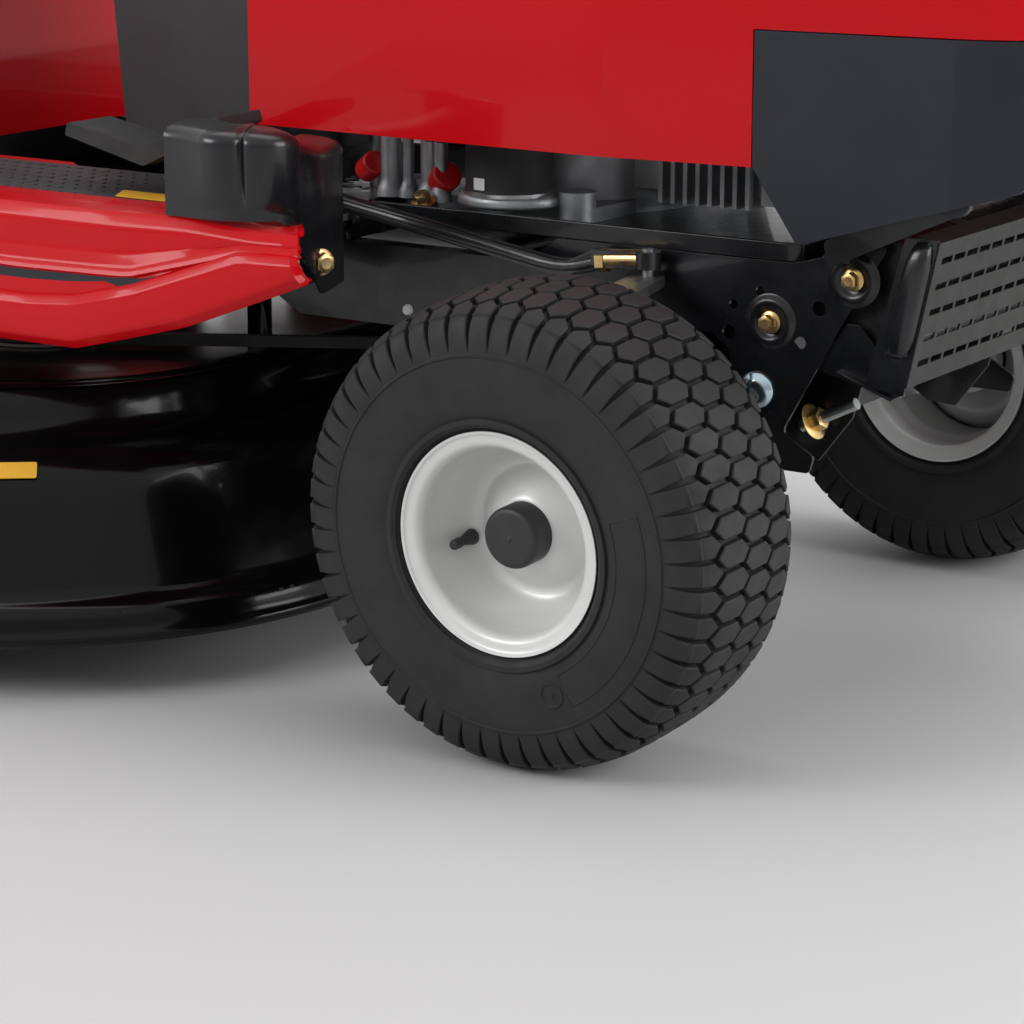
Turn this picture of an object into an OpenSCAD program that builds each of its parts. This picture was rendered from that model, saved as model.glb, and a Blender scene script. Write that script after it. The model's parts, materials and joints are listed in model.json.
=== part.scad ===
// Riding lawn mower: a front-engined lawn tractor with a twin-blade deck, in
// separate pieces. X points forward, Y to the machine's left and Z up. The
// origin is on the ground under the middle of the machine.

/* [Overall] */
// Overall length, nose to hitch plate
overall_l = 1800; // [1740:5:1900]
// Distance between the front and rear axles
wheelbase = 1200; // [1180:5:1260]
// Front axle to the tip of the nose
front_overhang = 360; // [350:5:400]
// Width of the mower deck at its lip
deck_w = 1144; // [1060:4:1200]

/* [Front wheels] */
// Distance between the front wheels' centre planes
track_f = 752; // [731:1:761]
// Outside radius of a front tyre
tyre_f_r = 188; // [175:1:190]
// Section width of a front tyre
tyre_f_w = 150; // [120:2:154]
// Radius of a front rim's bead seat
rim_f_r = 76; // [70:1:84]
// Outward lean of the front wheels, in degrees
camber = 3; // [0:0.5:4]
// Distance from the centreline to a kingpin
kingpin_y = 262; // [258:1:268]
// Radius of a front wheel's spindle
spindle_r = 9.5; // [8:0.5:12]

/* [Rear wheels] */
// Distance between the rear wheels' centre planes
track_r = 720; // [710:2:760]
// Outside radius of a rear tyre
tyre_r_r = 228.5; // [210:0.5:235]
// Section width of a rear tyre
tyre_r_w = 210; // [170:2:212]
// Radius of a rear rim's bead seat
rim_r_r = 102; // [90:1:114]

/* [Frame] */
// Half the width over the frame rails
rail_y = 190; // [186:1:194]
// Height of the front rails' lower edge
rail_z = 284; // [280:1:290]
// Depth of a rail
rail_h = 69; // [60:1:74]
// Thickness of the rail's sheet
rail_t = 3; // [2:0.5:4]
// How far the rails step up behind the engine
rail_step = 31; // [25:1:34]
// Radius of the front axle's pivot pin
pivot_r = 16; // [12:1:18]

/* [Deck] */
// Height of the deck's lip above the ground
deck_lip_z = 50; // [40:1:60]
// Height of the deck's top above its lip
deck_h = 190; // [170:2:194]
// Distance from the centreline to a blade spindle
spindle_y = 232; // [226:1:240]
// Distance of the blade spindles behind the middle between the axles
spindle_back = 40; // [30:1:50]
// Length of a lift arm
lift_arm = 150; // [140:2:160]
// Angle of the lift arms below level at rest
lift_drop = 9.6; // [8:0.2:10]

/* [Bodywork] */
// Half the width of the hood
hood_y = 255; // [250:1:265]
// Height of the hood's rear edge
hood_z = 880; // [840:5:900]
// Half the width over the footboards
foot_y = 440; // [420:2:460]
// Height of the footboards
foot_z = 405; // [400:1:410]
// Height of the rear fender
fender_z = 600; // [580:2:620]
// Thickness of the pressed bodywork
skin = 4; // [3:0.5:5]

/* [Seat and wheel] */
// Diameter of the steering wheel
wheel_d = 350; // [320:5:380]
// Tilt of the steering column from upright
column_tilt = 25; // [25:0.5:26]
// Width of the seat
seat_w = 410; // [380:5:430]
// Height of the seat's cushion above the fender
seat_rise = 75; // [70:1:90]

/* [Hidden] */

fit = 0.06;                 // radial clearance of a running fit
gap = 1;                    // clearance of pieces that pass each other
nose_x = overall_l / 2;
tail_x = -overall_l / 2;
axle_x = nose_x - front_overhang;
rear_x = axle_x - wheelbase;

right = -1;
left = 1;

// Front end
kingpin_r = 11;
beam_z = 255;               // axle beam's middle and pivot height
beam_h = 55;
beam_w = 50;
boss_r = 20;
boss_z = [215, 335];
arm_z = 347;                // underside of the steering arm
ball = [-12, 54];           // ball stud from the right kingpin
ball_z = 369;
tie_arm = 75;
front_hub_z = tyre_f_r * cos(camber) + 0.6;
side_t = 3;
bracket_x = axle_x - 140;   // where the side plates take over from the rails
cross_x = [axle_x - 43, axle_x + 60];

// Steering gear
sector_x = axle_x - 360;
sector_y = -kingpin_y + 2 * ball[1];
pinion_x = axle_x - 428;
steer_ratio = 5;
gear_gap = norm([pinion_x - sector_x, sector_y]);
pinion_r = gear_gap / (steer_ratio + 1);
sector_r = gear_gap - pinion_r;
sector_dir = atan2(-sector_y, pinion_x - sector_x);
sector_z = 365;
column_top = [axle_x - 645, 0, 945];

// Deck
lip_r = deck_w / 2 - spindle_y;
spindle_x = (axle_x + rear_x) / 2 - spindle_back;
deck_top = deck_lip_z + deck_h;
lift_x = spindle_x - 290;
link_x = spindle_x + 40;
lift_z = 330;
ear_z = lift_z - lift_arm * sin(lift_drop);
ear_reach = lift_arm * cos(lift_drop);
ear_y = 160;
shaft_r = 10;

// Engine
engine_x = axle_x - 200;
engine_z = 378;
crank_r = 14;
drive_z = 307;              // drive belt's plane
deck_belt_z = deck_top + 12;
gearbox_x = rear_x + 30;
gearbox_pulley_r = 80;
engine_pulley_r = 52;

// Bodywork
hood_x = axle_x - 450;      // hood's rear edge
split_x = axle_x + 100;     // where the fascia takes over from the hood
hinge = [axle_x + 260, 0, 440];
hinge_y = 208;
hinge_end = [hinge[0] + 12, hinge[2] - 8];
dash_x = [axle_x - 625, axle_x - 452];
dash_y = 150;
control_y = 90;             // key and blade knob on the dash
control_z = 780;
lever_x = dash_x[0] + 107;  // throttle lever's pivot
seat_x = rear_x + 150;
seat_z = fender_z + seat_rise;
foot_in = 252;              // inner edge of a footboard's front part

function unit(v) = v / norm(v);
// Corner a-b-c rounded to radius r with n steps
function corner(a, b, c, r, n) = r == 0 ? [b] :
    let (u = unit(a - b), v = unit(c - b), half = acos(u * v) / 2, m = unit(u + v),
         o = b + m * r / sin(half), s = b + u * r / tan(half) - o, e = b + v * r / tan(half) - o,
         a0 = atan2(s[1], s[0]), sweep = (atan2(e[1], e[0]) - a0 + 540) % 360 - 180)
    [for (i = [0:n]) o + r * [cos(a0 + sweep * i / n), sin(a0 + sweep * i / n)]];
function rounded(p, r, n = 5) = [for (i = [0:len(p) - 1])
    each corner(p[(i + len(p) - 1) % len(p)], p[i], p[(i + 1) % len(p)], is_list(r) ? r[i] : r, n)];

// Band from z0 to z1 above a line of XZ points
function band(line, z0, z1) = concat([for (p = line) [p[0], z0 + p[1]]],
    [for (i = [len(line) - 1:-1:0]) [line[i][0], z1 + line[i][1]]]);

// Sheet cut to an XZ outline, standing between y0 and y0 + t
module side_plate(outline, y0, t) {
    translate([0, y0 + t, 0]) rotate([90, 0, 0]) linear_extrude(t) polygon(outline);
}
// YZ outline swept from x0 to x1
module cross_plate(outline, x0, x1) {
    translate([x0, 0, 0]) rotate([90, 0, 90]) linear_extrude(x1 - x0) polygon(outline);
}
// XY outline swept from z0 to z1
module flat_plate(outline, z0, z1) {
    translate([0, 0, z0]) linear_extrude(z1 - z0) polygon(outline);
}
// Round bar between two points
module bar(a, b, r) {
    d = b - a;
    translate(a) rotate([0, acos(d[2] / norm(d)), atan2(d[1], d[0])]) cylinder(h = norm(d), r = r,
        $fn = 48);
}
module block(low, high) {
    translate(low) cube(high - low);
}
module along_x(x0, x1, y, z, r) {
    translate([x0, y, z]) rotate([0, 90, 0]) cylinder(h = x1 - x0, r = r, $fn = 64);
}
module along_y(x, y0, y1, z, r) {
    translate([x, y0, z]) rotate([-90, 0, 0]) cylinder(h = y1 - y0, r = r, $fn = 64);
}
module upright(x, y, z0, z1, r) {
    translate([x, y, z0]) cylinder(h = z1 - z0, r = r, $fn = 64);
}
// Children drawn for the right side, mirrored for the left
module side(s) {
    if (s == right) children();
    else mirror([0, 1, 0]) children();
}
// Children's Z axis becomes the right front wheel's outward axle line
module front_wheel_place() {
    translate([axle_x, -track_f / 2, front_hub_z]) rotate([90 + camber, 0, 0]) children();
}
module rear_wheel_place() {
    translate([rear_x, -track_r / 2, tyre_r_r]) rotate([90, 0, 0]) children();
}

// Frame rails: C sections, stepped up behind the engine
rail_kink = [axle_x - 377, axle_x - 430];
rail_top = rail_z + rail_h;
rail_line = [[bracket_x, 0], [rail_kink[0], 0], [rail_kink[1], rail_step], [tail_x + 25, rail_step]];

flange_w = 20;
module rail(s) {
    side(s) difference() {
        union() {
            side_plate(band(rail_line, rail_z, rail_top), -rail_y, rail_t);
            side_plate(band(rail_line, rail_top - rail_t, rail_top), -rail_y, flange_w);
            side_plate(band(rail_line, rail_z, rail_z + rail_t), -rail_y, flange_w);
        }
        for (x = [lift_x, link_x]) along_y(x, -rail_y - 1, -rail_y + rail_t + 1, lift_z, shaft_r + fit);
    }
}
module rail_right() { color("#1c1c1e") rail(right); }
module rail_left() { color("#1c1c1e") rail(left); }

// Front bracket: two side plates, the cross plates that hold the axle's pivot
// pin, the hood's hinge straps and the shields beside the muffler
plate_line = rounded([[bracket_x, rail_z], [bracket_x, rail_top], [bracket_x + 30, 374], [axle_x + 110,
    374],
    [axle_x + 194, 396], [axle_x + 152, 325], [axle_x + 103, 237], [axle_x + 132, 220], [axle_x + 128, 206],
    [axle_x + 58, 206], [axle_x + 54, 300], [axle_x + 36, 311], [axle_x - 50, 311], [axle_x - 80, rail_z]],
    [0, 0, 6, 6, 3, 8, 6, 4, 4, 4, 8, 6, 6, 6]);
module front_bracket() {
    color("#1c1c1e") {
        for (s = [right, left]) side(s) {
            difference() {
                side_plate(plate_line, -rail_y, side_t);
                for (h = [[118, 311, 5], [134, 340, 6], [57, 336, 4], [53, 313, 6], [81, 349, 4]])
                    along_y(axle_x + h[0], -rail_y - 1, -rail_y + side_t + 1, h[1], h[2]);
            }
            // hinge strap and pin
            side_plate(rounded([[axle_x + 150, 376], [axle_x + 196, 397], hinge_end, [hinge[0] - 4,
                hinge[2] + 12],
                [axle_x + 190, 425], [axle_x + 146, 396]], 4), -hinge_y, 5);
            block([axle_x + 150, -hinge_y + 5, 380], [axle_x + 166, -rail_y, 392]);
            along_y(hinge[0], -hinge_y - 11, -hinge_y + 5, hinge[2], 6);
            // shield beside the muffler
            side_plate([[axle_x + 130, 291], [axle_x + 197, 275], [axle_x + 206, 288], [axle_x + 168, 330],
                [axle_x + 157, 330]], -rail_y + side_t, 2);
        }
        difference() {
            for (x = cross_x)
                block([x - 3, -rail_y + side_t, 215], [x + 3, rail_y - side_t, x < axle_x ? 345 : 298]);
            along_x(cross_x[0] - 5, cross_x[1] + 5, 0, beam_z, pivot_r);
        }
    }
    color("#c8a24a") along_x(cross_x[0] - 8, cross_x[1] + 14, 0, beam_z, pivot_r);
}

// Engine tray with a raised lip all round
tray_x = [axle_x - 312, axle_x + 116];
tray_y = rail_y - 3;
module engine_tray() {
    tray = rounded([[tray_x[0], -tray_y], [tray_x[1], -tray_y], [tray_x[1], tray_y], [tray_x[0],
        tray_y]], 16);
    floor_in = rounded([[tray_x[0] + 4, -tray_y + 4], [tray_x[1] - 4, -tray_y + 4],
        [tray_x[1] - 4, tray_y - 4], [tray_x[0] + 4, tray_y - 4]], 12);
    color("#202124") difference() {
        flat_plate(tray, 374, 389);
        flat_plate(floor_in, engine_z, 390);
        upright(engine_x, 0, 370, 380, 40);
    }
}

hitch_r = 6.5;
// Rear frame plate with the towing hole, and the bumper plate it carries
module hitch_plate() {
    color("#1c1c1e") difference() {
        union() {
            block([tail_x + 19, -rail_y, rail_z], [tail_x + 25, rail_y, rail_top + rail_step]);
            flat_plate(rounded([[tail_x, -45], [tail_x + 19, -60], [tail_x + 19, 60], [tail_x, 45]],
                [12, 0, 0, 12]), 286, 292);
        }
        upright(tail_x + 10.5, 0, 280, 300, hitch_r);
    }
}

// Cross plate that carries the steering sector's pivot and the pinion's foot
module steering_bracket() {
    plate = rounded([[sector_x - 14, -rail_y + 4], [sector_x + 34, -rail_y + 4], [sector_x + 34,
        rail_y - 4],
        [sector_x - 14, rail_y - 4], [sector_x - 14, 50], [pinion_x - 25, 30], [pinion_x - 25, -30],
        [sector_x - 14, -50]], 5);
    color("#26272a") {
        difference() {
            flat_plate(plate, rail_top, rail_top + 6);
            upright(pinion_x, 0, rail_top - 1, rail_top + 7, 8 + fit);
        }
        upright(sector_x, sector_y, rail_top + 6, sector_z + 14, 8);
        upright(sector_x, sector_y, rail_top + 6, sector_z - gap, 14);
    }
}

// Front axle beam with kingpin bosses and the bore of its pivot
module axle_beam() {
    color("#1b1b1d") difference() {
        union() {
            block([axle_x - beam_w / 2, -kingpin_y, beam_z - beam_h / 2], [axle_x + beam_w / 2,
                kingpin_y, beam_z + beam_h / 2]);
            for (s = [right, left]) upright(axle_x, s * kingpin_y, boss_z[0], boss_z[1], boss_r);
        }
        along_x(axle_x - 60, axle_x + 60, 0, beam_z, pivot_r + fit);
        for (s = [right, left]) {
            upright(axle_x, s * kingpin_y, 200, 340, kingpin_r + fit);
            difference() {
                block([axle_x - 30, s == right ? -kingpin_y - 30 : kingpin_y, 220], [axle_x + 30,
                    s == right ? -kingpin_y : kingpin_y + 30, 300]);
                upright(axle_x, s * kingpin_y, 210, 310, boss_r);
            }
        }
    }
}

// Steering knuckle: kingpin, wheel spindle, tie rod arm and, on the right, the
// drag link's arm
knuckle_z = [180, 213];
module knuckle() {
    color("#2a2b2e") {
        upright(axle_x, -kingpin_y, knuckle_z[0], arm_z + 8, kingpin_r);
        upright(axle_x, -kingpin_y, knuckle_z[0], knuckle_z[1], 19);
        front_wheel_place() translate([0, 0, kingpin_y - track_f / 2])
            cylinder(h = track_f / 2 - kingpin_y + 40, r = spindle_r, $fn = 64);
        front_wheel_place() translate([0, 0, kingpin_y - track_f / 2]) cylinder(h = 55, r = 15, $fn = 64);
        difference() {
            block([axle_x - tie_arm, -kingpin_y - 12, 200], [axle_x - 10, -kingpin_y + 12, 208]);
            upright(axle_x, -kingpin_y, 190, 220, kingpin_r);
        }
        upright(axle_x - tie_arm, -kingpin_y, 200, 208, 12);
        upright(axle_x - tie_arm, -kingpin_y, 208, 240, 6);
    }
}
module drag_arm() {
    angle = atan2(ball[1], ball[0]);
    tip = norm(ball) + 9;
    translate([axle_x, -kingpin_y, arm_z]) rotate([0, 0, angle]) linear_extrude(8)
        polygon(rounded([[-26, -17], [tip, -14], [tip, 14], [-26, 17]], [12, 11, 11, 12]));
}
module knuckle_right() {
    knuckle();
    color("#6c6a66") {
        drag_arm();
        upright(axle_x, -kingpin_y, arm_z - 12, arm_z, 17);
        upright(axle_x + ball[0], -kingpin_y + ball[1], arm_z + 8, ball_z + 8, 5);
    }
}
module knuckle_left() {
    side(left) {
        knuckle();
        color("#6c6a66") upright(axle_x, -kingpin_y, arm_z - 12, arm_z + 8, 17);
    }
}

// Tie rod: an eye on each arm's pin
module tie_rod() {
    x = axle_x - tie_arm;
    color("#1f2022") difference() {
        union() {
            for (s = [right, left]) upright(x, s * kingpin_y, 216, 236, 13);
            along_y(x, -kingpin_y, kingpin_y, 226, 8);
        }
        upright(x, -kingpin_y, 210, 240, 6 + fit);
        upright(x, kingpin_y, 210, 240, 7);
    }
}

// Drag link: rod end on the ball stud, bent rod, and a rear strap whose slot
// leaves the sector's pin room
link_y = -kingpin_y + ball[1];
link_path = [[axle_x - 62, 366], [axle_x - 90, 353], [sector_x + 40, 390]];
strap_z = 388;
module drag_link() {
    eye = [axle_x + ball[0], link_y];
    color("#c9a34e") difference() {
        union() {
            upright(eye[0], eye[1], ball_z - 8, ball_z + 6, 10.5);
            block([link_path[0][0], link_y - 7, ball_z - 9], [eye[0] - 8, link_y + 7, ball_z + 4]);
        }
        upright(eye[0], eye[1], ball_z - 12, ball_z + 12, 5 + fit);
    }
    color("#17181a") {
        side_plate(band(link_path, -6, 6), link_y - 6, 12);
        difference() {
            flat_plate(rounded([[sector_x - 13, link_y - 17], [sector_x + 50, link_y - 10],
                [sector_x + 50, link_y + 10],
                [sector_x + 16, link_y + 10], [sector_x + 12, link_y + 42], [sector_x - 13, link_y + 42]],
                [5, 5, 5, 3, 3, 5]), strap_z, strap_z + 5);
            flat_plate(rounded([[sector_x - 7.5, link_y - 15], [sector_x + 7.5, link_y - 15],
                [sector_x + 7.5, link_y + 38], [sector_x - 7.5, link_y + 38]], 6), strap_z - 1,
                    strap_z + 6);
        }
    }
}

// Steering gear: toothed sector with the drag link's pin, and its pinion
pinion_teeth = 12;
tooth_pitch = 2 * PI * pinion_r / pinion_teeth;
module tooth(r) {
    polygon([[r - 9, -tooth_pitch * 0.24], [r - 5, -tooth_pitch * 0.24], [r, -tooth_pitch * 0.2], [r + 3,
        -tooth_pitch * 0.1],
        [r + 3, tooth_pitch * 0.1], [r, tooth_pitch * 0.2], [r - 5, tooth_pitch * 0.24], [r - 9,
            tooth_pitch * 0.24]]);
}
sector_teeth = 7;           // either side of the middle one
module steering_sector() {
    step = 360 / (pinion_teeth * steer_ratio);
    half_span = sector_teeth * step + 2.5;
    web_r = sector_r - 5;
    color("#8f9093") translate([sector_x, sector_y, sector_z]) {
        linear_extrude(6) difference() {
            union() {
                rotate(sector_dir) {
                    for (i = [-sector_teeth:sector_teeth]) rotate(i * step) tooth(sector_r);
                    polygon(concat([[-12, 0]], [for (i = [-8:8]) web_r * [cos(half_span * i / 8),
                        sin(half_span * i / 8)]]));
                }
                circle(r = 18, $fn = 64);
                translate([-9, -ball[1]]) square([18, ball[1]]);
                translate([0, -ball[1]]) circle(r = 11, $fn = 48);
            }
            circle(r = 8 + fit, $fn = 64);
        }
        translate([0, -ball[1], 6]) cylinder(h = 38, r = 5, $fn = 48);
    }
}
module steering_pinion() {
    step = 360 / pinion_teeth;
    color("#a2a3a6") translate([pinion_x, 0, 0]) {
        translate([0, 0, rail_top - 4]) cylinder(h = sector_z - rail_top + 4, r = 8, $fn = 48);
        translate([0, 0, sector_z]) linear_extrude(6) {
            circle(r = pinion_r - 5, $fn = 48);
            for (i = [1:pinion_teeth]) rotate(sector_dir + 180 + (i - 0.5) * step) tooth(pinion_r);
        }
        translate([0, 0, sector_z + 6]) cylinder(h = 70, r = 8, $fn = 48);
        translate([0, 0, rail_top + 88]) cylinder(h = 20, r = 14, $fn = 48);
    }
}

// Steering wheel with three spokes, hub and the column's shaft
shaft_len = (column_top[2] - rail_top - 112) / cos(column_tilt);
module steering_wheel() {
    rim = 14;
    color("#141414") translate(column_top) rotate([0, -column_tilt, 0]) {
        rotate_extrude($fn = 96) translate([wheel_d / 2 - rim, 0]) circle(r = rim, $fn = 24);
        for (a = [90, 210, 330]) rotate([0, 0, a + 90]) translate([30, 0, -4]) rotate([0, 90, 0])
            linear_extrude(wheel_d / 2 - rim - 38) polygon(rounded([[-5, -17], [5, -17], [5, 17], [-5,
                17]], 4));
        translate([0, 0, -30]) cylinder(h = 36, r = 38, $fn = 64);
        translate([0, 0, -shaft_len]) cylinder(h = shaft_len - 20, r = 9, $fn = 48);
    }
}

bead_gap = 0.3;
// Tyres: a boxy rounded section; rims: barrel, flanges, dished web and hub
function tyre_section(r_out, r_bead, w) = let (mid = (r_out + r_bead) / 2, h = (r_out - r_bead) / 2)
    [for (i = [0:31]) let (a = i * 360 / 32, c = cos(a), s = sin(a))
        [mid + bead_gap / 2 + (h - bead_gap / 2) * sign(s) * pow(abs(s), 0.55),
            w / 2 * sign(c) * pow(abs(c), 0.55)]];
module tyre(r_out, r_bead, w) {
    color("#3a3b3d") rotate_extrude($fn = 120) polygon(tyre_section(r_out, r_bead, w));
}
valve_r = -52;              // valve's place in the web
module front_rim() {
    flange = [tyre_f_w / 2 - 9, tyre_f_w / 2 - 5];
    color("#b4b6b8") difference() {
        front_rim_form(flange);
        translate([valve_r, 0, 0]) cylinder(h = 60, r = 5, $fn = 32);
    }
}
module front_rim_form(flange) {
    rotate_extrude($fn = 96) {
        for (s = [-1, 1]) polygon([[rim_f_r - 4, s * flange[0]], [rim_f_r + 13, s * flange[0]],
            [rim_f_r + 13, s * flange[1]], [rim_f_r - 4, s * flange[1]]]);
        polygon([[rim_f_r - 4, -flange[0]], [rim_f_r, -flange[0]], [rim_f_r, flange[0]], [rim_f_r - 4,
            flange[0]]]);
        polygon([[20, 12], [50, 14], [rim_f_r - 14, 26], [rim_f_r - 4, 44], [rim_f_r - 2, 44],
            [rim_f_r - 2, 38],
            [rim_f_r - 11, 22], [50, 10], [20, 8]]);
        polygon([[spindle_r + fit, -45], [24, -45], [24, 44], [spindle_r + fit, 44]]);
    }
}
module front_hub_cap() {
    color("#141416") rotate_extrude($fn = 64) polygon([[0, 44], [21.5, 44], [21.5, 49], [19, 52], [3,
        53], [3, 54], [0, 54]]);
    // valve stem through the web
    color("#141416") translate([valve_r, 0, 10]) cylinder(h = 38, r = 5, $fn = 32);
}
module tyre_front_right() { front_wheel_place() tyre(tyre_f_r, rim_f_r, tyre_f_w); }
module tyre_front_left() { side(left) front_wheel_place() tyre(tyre_f_r, rim_f_r, tyre_f_w); }
module rim_front_right() { front_wheel_place() front_rim(); }
module rim_front_left() { side(left) front_wheel_place() front_rim(); }
module hub_cap_front_right() { front_wheel_place() front_hub_cap(); }
module hub_cap_front_left() { side(left) front_wheel_place() front_hub_cap(); }

axle_shaft_r = 12.7;
axle_tube_y = track_r / 2 - tyre_r_w / 2 - 14;
module rear_rim() {
    flange = [tyre_r_w / 2 - 12, tyre_r_w / 2 - 7];
    inboard = track_r / 2 - 60;
    color("#b4b6b8") rotate_extrude($fn = 96) {
        for (s = [-1, 1]) polygon([[rim_r_r - 4, s * flange[0]], [rim_r_r + 12, s * flange[0]],
            [rim_r_r + 12, s * flange[1]], [rim_r_r - 4, s * flange[1]]]);
        polygon([[rim_r_r - 4, -flange[0]], [rim_r_r, -flange[0]], [rim_r_r, flange[0]], [rim_r_r - 4,
            flange[0]]]);
        polygon([[0, 20], [70, 20], [rim_r_r - 12, 34], [rim_r_r - 4, 60], [rim_r_r - 2, 60],
            [rim_r_r - 2, 52],
            [rim_r_r - 8, 30], [70, 15], [0, 15]]);
        polygon([[0, -inboard], [axle_shaft_r, -inboard], [axle_shaft_r, -90], [22, -90], [22, 30], [0,
            30]]);
    }
}
module tyre_rear_right() { rear_wheel_place() tyre(tyre_r_r, rim_r_r, tyre_r_w); }
module tyre_rear_left() { side(left) rear_wheel_place() tyre(tyre_r_r, rim_r_r, tyre_r_w); }
module rim_rear_right() { rear_wheel_place() rear_rim(); }
module rim_rear_left() { side(left) rear_wheel_place() rear_rim(); }

// Transaxle: gearbox, axle tubes and its input pulley
module transaxle() {
    box = rounded([[gearbox_x - 120, 150], [gearbox_x + 90, 160], [gearbox_x + 90, 285], [gearbox_x + 30,
        298],
        [gearbox_x - 120, 290]], 18);
    color("#6f7376") {
        difference() {
            union() {
                side_plate(box, -95, 190);
                along_y(rear_x, -axle_tube_y, axle_tube_y, tyre_r_r, 32);
            }
            for (s = [0, 1]) mirror([0, s, 0]) along_y(rear_x, -axle_tube_y - 1, -55, tyre_r_r,
                axle_shaft_r + fit);
        }
        upright(gearbox_x, 0, 290, drive_z + 12, 12);
        for (s = [-1, 1]) upright(gearbox_x, 0, drive_z + (s > 0 ? 6 : -9), drive_z + (s > 0 ? 9 : -6),
            gearbox_pulley_r);
        upright(gearbox_x, 0, drive_z - 6, drive_z + 6, gearbox_pulley_r - 11);
        for (s = [-1, 1]) block([gearbox_x - 60, s > 0 ? 80 : -rail_y + rail_t, 296], [gearbox_x - 20,
            s > 0 ? rail_y - rail_t : -80, 298]);
    }
}

// Open belt round two pulleys of radii r1 and r2, l apart along X
module belt_loop(r1, r2, l, t, h) {
    tilt = asin((r2 - r1) / l);
    outer = concat([for (i = [0:24]) let (a = -90 + tilt + (180 - 2 * tilt) * i / 24) [l + r1 * cos(a),
        r1 * sin(a)]],
        [for (i = [0:24]) let (a = 90 - tilt + (180 + 2 * tilt) * i / 24) r2 * [cos(a), sin(a)]]);
    inner = concat([for (i = [0:24])
        let (a = -90 + tilt + (180 - 2 * tilt) * i / 24) [l + (r1 - t) * cos(a), (r1 - t) * sin(a)]],
        [for (i = [0:24]) let (a = 90 - tilt + (180 + 2 * tilt) * i / 24) (r2 - t) * [cos(a), sin(a)]]);
    linear_extrude(h) difference() {
        polygon(outer);
        polygon(inner);
    }
}
module drive_belt() {
    color("#1a1a1a") translate([gearbox_x, 0, drive_z - 5])
        belt_loop(engine_pulley_r - 1, gearbox_pulley_r - 1, engine_x - gearbox_x, 9, 10);
}

// Engine: crankcase, finned cylinder to the front, mounting legs
module engine_block() {
    color("#a9abad") difference() {
        union() {
            upright(engine_x, 0, engine_z, 520, 104);
            for (x = [-90, 70]) for (s = [-1, 1])
                upright(engine_x + x, s * 128, engine_z, 404, 16);
            block([engine_x - 106, -128, engine_z], [engine_x + 86, 128, engine_z + 12]);
            block([engine_x + 60, -60, 400], [engine_x + 220, 60, 500]);
            for (i = [0:7]) block([engine_x + 118 + i * 12, -76, 392], [engine_x + 122 + i * 12, 76, 510]);
            block([engine_x + 214, -70, 396], [engine_x + 244, 70, 506]);
        }
        upright(engine_x, 0, 370, 600, crank_r + fit);
    }
}
module blower_housing() {
    color("#1f2023") difference() {
        union() {
            upright(engine_x, 0, 521, 600, 140);
            upright(engine_x, 0, 600, 640, 105);
            block([engine_x + 60, -90, 521], [engine_x + 230, 90, 570]);
        }
        upright(engine_x, 0, 510, 600, crank_r + 8);
    }
}
module starter_motor() {
    color("#18181a") upright(engine_x + 8, -150, 400, 500, 26);
    color("#c9cbcd") upright(engine_x + 8, -150, 396, 400, 28);
}
module crankshaft_pulleys() {
    color("#85878a") translate([engine_x, 0, 0]) {
        translate([0, 0, deck_belt_z - 12]) cylinder(h = 590 - deck_belt_z, r = crank_r, $fn = 64);
        for (z = [drive_z, deck_belt_z]) {
            for (s = [-1, 1]) translate([0, 0, z + (s > 0 ? 6 : -9)]) cylinder(h = 3,
                r = engine_pulley_r, $fn = 64);
            translate([0, 0, z - 6]) cylinder(h = 12, r = engine_pulley_r - 11, $fn = 64);
        }
    }
}
muffler_x = axle_x + 172;
muffler_z = 353;
module muffler() {
    color("#101012") {
        along_y(muffler_x, -178, 178, muffler_z, 50);
        bar([muffler_x - 20, 60, 394], [engine_x + 256, 60, 440], 14);
    }
}
// Slotted heat guard: a leaning plate with a lip along its top
slot = [18, 5];
slot_pitch = [22.5, 21];
module muffler_guard() {
    low = [axle_x + 217, 287];
    high = [axle_x + 242, 403];
    lean = atan2(high[0] - low[0], high[1] - low[1]);
    tall = norm(high - low);
    color("#6d6862") translate([low[0], 0, low[1]]) rotate([0, lean, 0]) difference() {
        union() {
            translate([-2, -200, 0]) cube([2, 400, tall]);
            translate([-20, -200, tall - 2]) cube([19, 400, 2]);
            for (s = [-1, 1]) translate([-30, s * 120 - 10, tall - 2]) cube([20, 20, 2]);
        }
        for (row = [0:4]) for (i = [-8:8])
            translate([-3, i * slot_pitch[0] - slot[0] / 2, 16 + row * slot_pitch[1]]) cube([4, slot[0],
                slot[1]]);
    }
}

// Fuel tank with its cap, battery
tank_x = axle_x - 390;
tank_y = 105;
module fuel_tank() {
    color("#d9d6c8") difference() {
        union() {
            block([tank_x - 44, tank_y - 60, 430], [tank_x + 44, tank_y + 60, 640]);
            upright(tank_x, tank_y, 636, 652, 24);
        }
        block([tank_x - 40, tank_y - 56, 434], [tank_x + 40, tank_y + 56, 636]);
        upright(tank_x, tank_y, 630, 660, 20);
    }
}
module fuel_cap() {
    color("#161616") difference() {
        upright(tank_x, tank_y, 641, 664, 32);
        upright(tank_x, tank_y, 640, 653, 24.4);
    }
}
battery_x = [rear_x + 70, rear_x + 260];
module battery() {
    color("#26282b") block([battery_x[0], -98, foot_z], [battery_x[1], 98, foot_z + 150]);
    color("#8f9193") for (s = [-1, 1]) upright(battery_x[1] - 20, s * 70, foot_z + 150, foot_z + 164, 9);
}

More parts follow.
